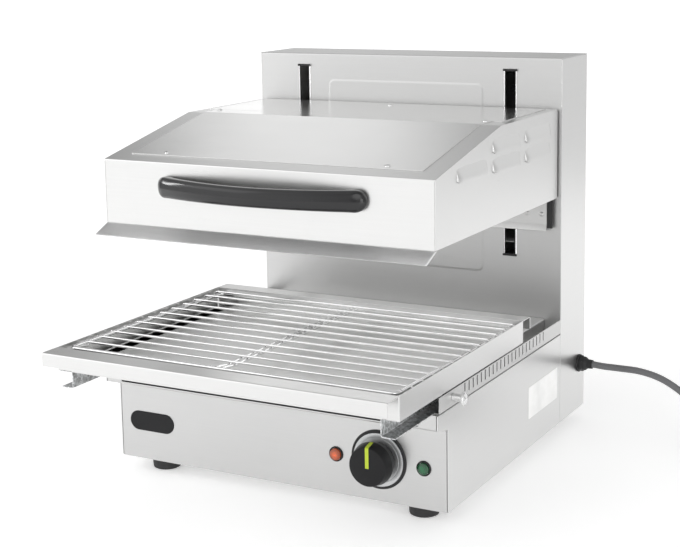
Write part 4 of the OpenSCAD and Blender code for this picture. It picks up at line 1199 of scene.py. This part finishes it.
class MELTER_OT_tower(bpy.types.Operator):
    """Folds the tower: front with its pressed panel and slots, sides and louvred back."""
    bl_idname = "melter.tower"
    bl_label = "Tower"

    def execute(self, context):
        size = context.scene.melter_sizes
        half, front, top = TOWER.x1, TOWER_FRONT, TOWER.z1
        inner = half - SHEET
        line = [(front, SHEET), (front, top), (BACK, top)]
        shell = prism("tower_sheet", folded(line, -SHEET, 2.2), -inner, inner, across)
        edges = [block("edge", (s * inner, front, top - SHEET), (s * half, BACK, top))
                 for s in (-1, 1)]
        slots = []
        for _, name in pair("slot_trim"):
            trim = span(name)
            slots.append(block("slot", (trim.x - SLOT_CUT, front - 2, trim.z0 + 2),
                               (trim.x + SLOT_CUT, front + 3, trim.z1 - 2)))
        slots.append(block("slot", (-40, front - 1, 10), (40, front + 3, 60)))
        cut(shell, join("slots", slots))
        whole = join("tower_sheet", [shell, self.pressed(size)] + edges)
        dress(soften(whole, size.edge, 2, 40), "base", "tower sheet", "tower_front")
        rim = fillet([(front, 0), (front, top - SHEET), (BACK, top - SHEET), (BACK, 0),
                      (front, 0)], 1.2, 3)[:-1]
        for side, name in pair("tower_side"):
            wall = prism("wall", rim, side * inner, side * half, across)
            if side > 0:
                g = span("cable_gland")
                cut(wall, lathe("hole", [(0, -4), (8.3, -4), (8.3, 4), (0, 4)],
                                (half, g.y, g.z), RIGHT, 40))
            wall.name = name.replace("tower_side", "tower_wall")
            dress(soften(wall, size.edge), "base", "side sheet", name)
        self.back(inner)
        self.trims()
        return {"FINISHED"}

    def pressed(self, size):
        """The raised panel between the slots, with its soft edge."""
        half, low, high = SLOT.x - PRESS_SIDE, PRESS_LOW, TOWER.z1 - PRESS_TOP
        rows = []
        for i in range(9):
            g = size.press_slope * (1 - i / 8)
            y = TOWER_FRONT - 0.45 * ease(i / 8) + (0.02 if i == 0 else 0)
            rim = rounded(-half - g, low - g, half + g, high + g, 6 + g, 10)
            rows.append([at(x, y, z) for x, z in rim])
        n = len(rows[0])
        return make("pressed", [v for row in rows for v in row], bands(9, n) + caps(9, n)[1:])

    def trims(self):
        """The bright frames and black end bars of the slots."""
        bars = []
        for _, name in pair("slot_trim"):
            s = span(name)
            x, w, face, strips = s.x, s.x1 - s.x, s.y0 + 0.1, []
            for e in (-1, 1):
                rim = [(x + e * a, y) for a, y in (
                    (TRIM_IN, TOWER_FRONT), (TRIM_IN, face + 0.3), (TRIM_IN + 0.3, face),
                    (TRIM_OUT - 0.8, face), (TRIM_OUT, face + 0.8), (TRIM_OUT, TOWER_FRONT))]
                strips.append(prism("strip", rim, s.z0, s.z1, upright))
            for z0, z1 in ((s.z0, s.z0 + 3), (s.z1 - 3, s.z1)):
                strips.append(block("end", (x - w + 0.3, face, z0), (x + w - 0.3, TOWER_FRONT, z1)))
                rim = rounded(x - w, z0, x + w, z1, 0.7, 4)
                bars.append(prism("bar", rim, s.y0 - 0.8, s.y0, deep))
            dress(soften(join(name + "_strip", strips), 0.15), "base", "turned", name)
        dress(soften(join("end_bars", bars), 0.15), "base", "matte black", "slot_end_bars")

    def back(self, inner):
        """The back sheet with two columns of pressed louvres and its screws."""
        top = TOWER.z1 - SHEET
        cover = block("back_sheet", (-inner, BACK - SHEET, 0), (inner, BACK, top))
        slots, humps = [], []
        for x in BACK_COLUMNS:
            for i in range(6):
                z, end = DECK.z1 + BACK_PITCH * i, x + BACK_LOUVRE
                slots.append(block("gap", (x + 4, BACK - 3, z + 0.6), (end - 4, BACK + 2, z + 6)))
                humps.append(louvre(lambda u, v, w: at(u, BACK + w, v), x, end, z, 11, 3.0))
        cut(cover, join("gaps", slots))
        cover = join("back_cover", [cover] + humps)
        dress(soften(cover, 0.2, 2, 40), "base", "tower sheet", "tower_back_cover")
        heads = [screw_top((side * (inner - 12), BACK, part * top), REARWARD, 4, 2.0)
                 for side in (-1, 1) for part in (0.05, 0.5, 0.95)]
        dress(join("back_screws", heads), "base", "turned", "tower_cover_screws")


# ---------------------------------------------------------------- hood

class MELTER_OT_hood(bpy.types.Operator):
    """Folds the hood with its louvres, covers, lip, brackets and screws."""
    bl_idname = "melter.hood"
    bl_label = "Hood"

    def execute(self, context):
        size = context.scene.melter_sizes
        low, top, front, rear, half = HOOD.z0, HOOD.z1, HOOD.y0, HOOD.y1, HOOD_HALF
        edge, ridge = low + size.hood_face, size.hood_ridge
        outline = [(front, low), (front, edge), (ridge, top), (rear, top), (rear, low)]
        outer = prism("hood_sheet", fillet(outline, 2.0, 5), -half, half, across)
        hollow = offset(outline, -SHEET)
        hollow[0].y = hollow[-1].y = low - 5
        cut(outer, prism("hollow", hollow, SHEET - half, half - SHEET, across))
        gaps, humps = [], []
        for side in (-1, 1):
            for y, up in HOOD_VENTS:
                z, end = low + up, y + size.hood_louvre
                gaps.append(block("gap", (side * half - 3, y + 5, z + 0.8),
                                  (side * half + 3, end - 5, z + 8)))
                humps.append(louvre(lambda u, v, w, s=side: at(s * (half + w), u, v), y, end, z,
                                    size.louvre_height, 3.9))
            gaps.append(arm_gap(side, rear - 4))
            seam = [(side * (half - a), front + b)
                    for a, b in ((1.6, -1), (1.6, 0), (1.2, 0.7), (0.8, 0), (0.8, -1))]
            gaps.append(prism("seam", seam[::side], low - 1, edge - 1.5, upright))
        cut(outer, join("gaps", gaps))
        whole = join("hood_sheet", [outer] + humps)
        dress(soften(whole, 0.45, 3, 40), "hood", "front sheet", "hood_shell")
        self.covers(edge, ridge, (top - edge) / (ridge - front))
        self.lip()
        self.rear()
        return {"FINISHED"}

    def covers(self, edge, ridge, slope):
        """The two sheets on top of the hood, and the screws of the covers and the handle."""
        c, r, h = span("hood_slope_cover"), span("hood_rear_cover"), span("hood_handle")
        front, top = HOOD.y0, HOOD.z1
        line = [(4, edge + (4 - front) * slope), (ridge, top), (196, top)]
        cover = prism("slope_cover", folded(line, 1.0, 0.3), c.x0, c.x1, across)
        dress(soften(cover, 0.35, 3), "hood", "cover sheet", "hood_slope_cover")
        rim = rounded(r.x0, r.y0, r.x1, r.y1, 1.0, 3)
        cover = prism("rear_cover", rim, r.z0, r.z1, upright)
        dress(soften(cover, 0.3, 3), "hood", "cover sheet", "hood_rear_cover")
        tilt = Vector((0, -slope, 1)).normalized()
        heads = []
        for side in (-1, 1):
            foot = Vector((side * (c.x1 - 47), 12, edge + (12 - front) * slope)) + tilt
            heads.append(screw_top(foot, tilt, 3.5, 1.5))
            heads.append(screw_top((side * (c.x1 - 6), 190, top + 1), UP, 3.5, 1.5))
        heads.append(screw_top((0, r.y1 - 28, top + 1), UP, 3.5, 1.5))
        heads += [screw_top((side * (h.x1 - 10.5), front + SHEET, h.z), REARWARD, 4)
                  for side in (-1, 1)]
        dress(join("hood_screw_heads", heads), "hood", "turned", "hood_screws")

    def lip(self):
        """The bright lip that leans out under the front face; its brightness is painted light, a
        sheet colour far lighter than the steel.
        """
        low, half, leg = HOOD.z0, HOOD_HALF, HOOD.y0 + SHEET
        line = [(leg, low + 20), (leg, low - 0.3), (HOOD.y0 - 24, low - 11)]
        inner = prism("lip_leg", folded(line, SHEET, 2.4), SHEET - half, half - SHEET, across)
        rim = offset(line[1:], SHEET)[::-1] + line[1:]
        blade = prism("lip_blade", rim, -half, half, across)
        dress(soften(join("front_lip", [inner, blade]), 0.3), "hood", "lip sheet", "hood_lip")

    def rear(self):
        """The plates and black strips that hang at the hood's rear."""
        y = HOOD.y1 - SHEET
        for side, name in pair("hood_bracket"):
            b = span(name)
            line = [(y, b.z1), (y, b.z0 + 9), (y - 3, b.z0)]
            plate = prism(name.replace("hood_", "") + "_plate", folded(line, -1.5, 3.0),
                          b.x0, b.x1, across)
            cut(plate, arm_gap(side, HOOD.y1 - 10))
            x = min(abs(b.x0), abs(b.x1))
            rivets = [lathe("rivet", [(0, 0), (3, 0), (2.8, 0.5), (2.0, 0.95), (0, 1.1)],
                            (side * (x + e), y - 1.5, HOOD.z0 - 22), FORWARD, 32)
                      for e in (49, 69)]
            whole = join(plate.name, [plate] + rivets)
            dress(soften(whole, 0.2), "hood", "deck sheet", name)
        s = span("hood_strips")
        ribs = []
        for side in (-1, 1):
            x = side * (s.x1 - 4)
            rim = [(x - 4 + i, s.y0 + (0.0 if i % 2 else 0.7)) for i in range(9)]
            ribs.append(prism("strip", rim + [(x + 4, s.y1), (x - 4, s.y1)], s.z0, s.z1, upright))
        dress(soften(join("rear_strips", ribs), 0.1), "hood", "rubber", "hood_strips")


class MELTER_OT_handle(bpy.types.Operator):
    """Shapes the glossy bow handle."""
    bl_idname = "melter.handle"
    bl_label = "Handle"

    def execute(self, context):
        h = span("hood_handle")
        half, reach = h.x1, h.y1 - h.y0
        foot, thick, cap_long, steps = 21.0, 16.0, 13.0, 40

        def bow(x, chord, rise):
            """How far an arc stands over its chord."""
            r = (chord * chord + rise * rise) / (2 * rise)
            return math.sqrt(max(r * r - x * x, 0)) - r + rise

        rows = []
        for i in range(-steps, steps + 1):
            x = half * math.sin(math.pi / 2 * i / steps)
            far = abs(x)
            end = max(0.0, (far - (half - cap_long)) / cap_long)
            cap = math.sqrt(max(1 - end * end, 0.0))
            outer = (10 + bow(far, half, reach - 10)) * (0.3 + 0.7 * cap)
            inner = bow(far, half - foot, reach - thick) if far < half - foot else 0.0
            tall = max((11.2 + 1.6 * (far / half) ** 2) * cap, 0.03)
            width, middle = (outer - inner) / 2, (outer + inner) / 2
            back = 0.78 if inner > 0 else 0.3
            rows.append([at(x, h.y1 - middle - width * swell(c, 0.78 if c > 0 else back),
                            h.z + tall * swell(s, 0.78)) for c, s in circle(44)])
        handle = loft("bow_handle", rows)
        dress(sharpen(handle, 60), "hood", "gloss black", "hood_handle")
        return {"FINISHED"}


class MELTER_OT_inside(bpy.types.Operator):
    """Gives the parts inside and under the sheets their finishes."""
    bl_idname = "melter.inside"
    bl_label = "Inside parts"

    def execute(self, context):
        coat("deck sheet", "base_bottom", "hood_arm_left", "hood_arm_right", "element_brackets")
        coat("bakelite", "thermostat")
        coat("ceramic", "terminal_block")
        coat("turned", "thermostat_shaft", "screw_nut", "strut_rods")
        coat("dark steel", "strut_tubes", "guide_rod_left", "guide_rod_right", "stop_collars")
        coat("cast", "carriage")
        coat("matte black", "rod_clamps")
        coat("reflector", "reflector")
        coat("heated", "element_front", "element_rear")
        return {"FINISHED"}


# ---------------------------------------------------------------- panel, registration and running

OPERATORS = (MELTER_OT_camera, MELTER_OT_cord, MELTER_OT_base, MELTER_OT_feet, MELTER_OT_controls,
             MELTER_OT_side_parts, MELTER_OT_tray, MELTER_OT_grid, MELTER_OT_tower, MELTER_OT_hood,
             MELTER_OT_handle, MELTER_OT_inside, MELTER_OT_stage)


class MELTER_PT_panel(bpy.types.Panel):
    """Lists the steps that dress the melter."""
    bl_label = "Cheese melter"
    bl_space_type = "VIEW_3D"
    bl_region_type = "UI"
    bl_category = "Melter"

    def draw(self, context):
        column = self.layout.column()
        for operator in OPERATORS:
            column.operator(operator.bl_idname)
        for settings in (context.scene.melter_sizes, context.scene.melter_colours):
            for name in settings.bl_rna.properties.keys():
                if name not in ("rna_type", "name"):
                    column.prop(settings, name)


CLASSES = (MelterSizes, MelterColours, *OPERATORS, MELTER_PT_panel)


def register():
    for each in CLASSES:
        bpy.utils.register_class(each)
    bpy.types.Scene.melter_sizes = PointerProperty(type=MelterSizes)
    bpy.types.Scene.melter_colours = PointerProperty(type=MelterColours)


def unregister():
    del bpy.types.Scene.melter_colours
    del bpy.types.Scene.melter_sizes
    for each in reversed(CLASSES):
        bpy.utils.unregister_class(each)


def main():
    register()
    for operator in OPERATORS:
        family, name = operator.bl_idname.split(".")
        getattr(getattr(bpy.ops, family), name)()


if __name__ == "__main__":
    main()
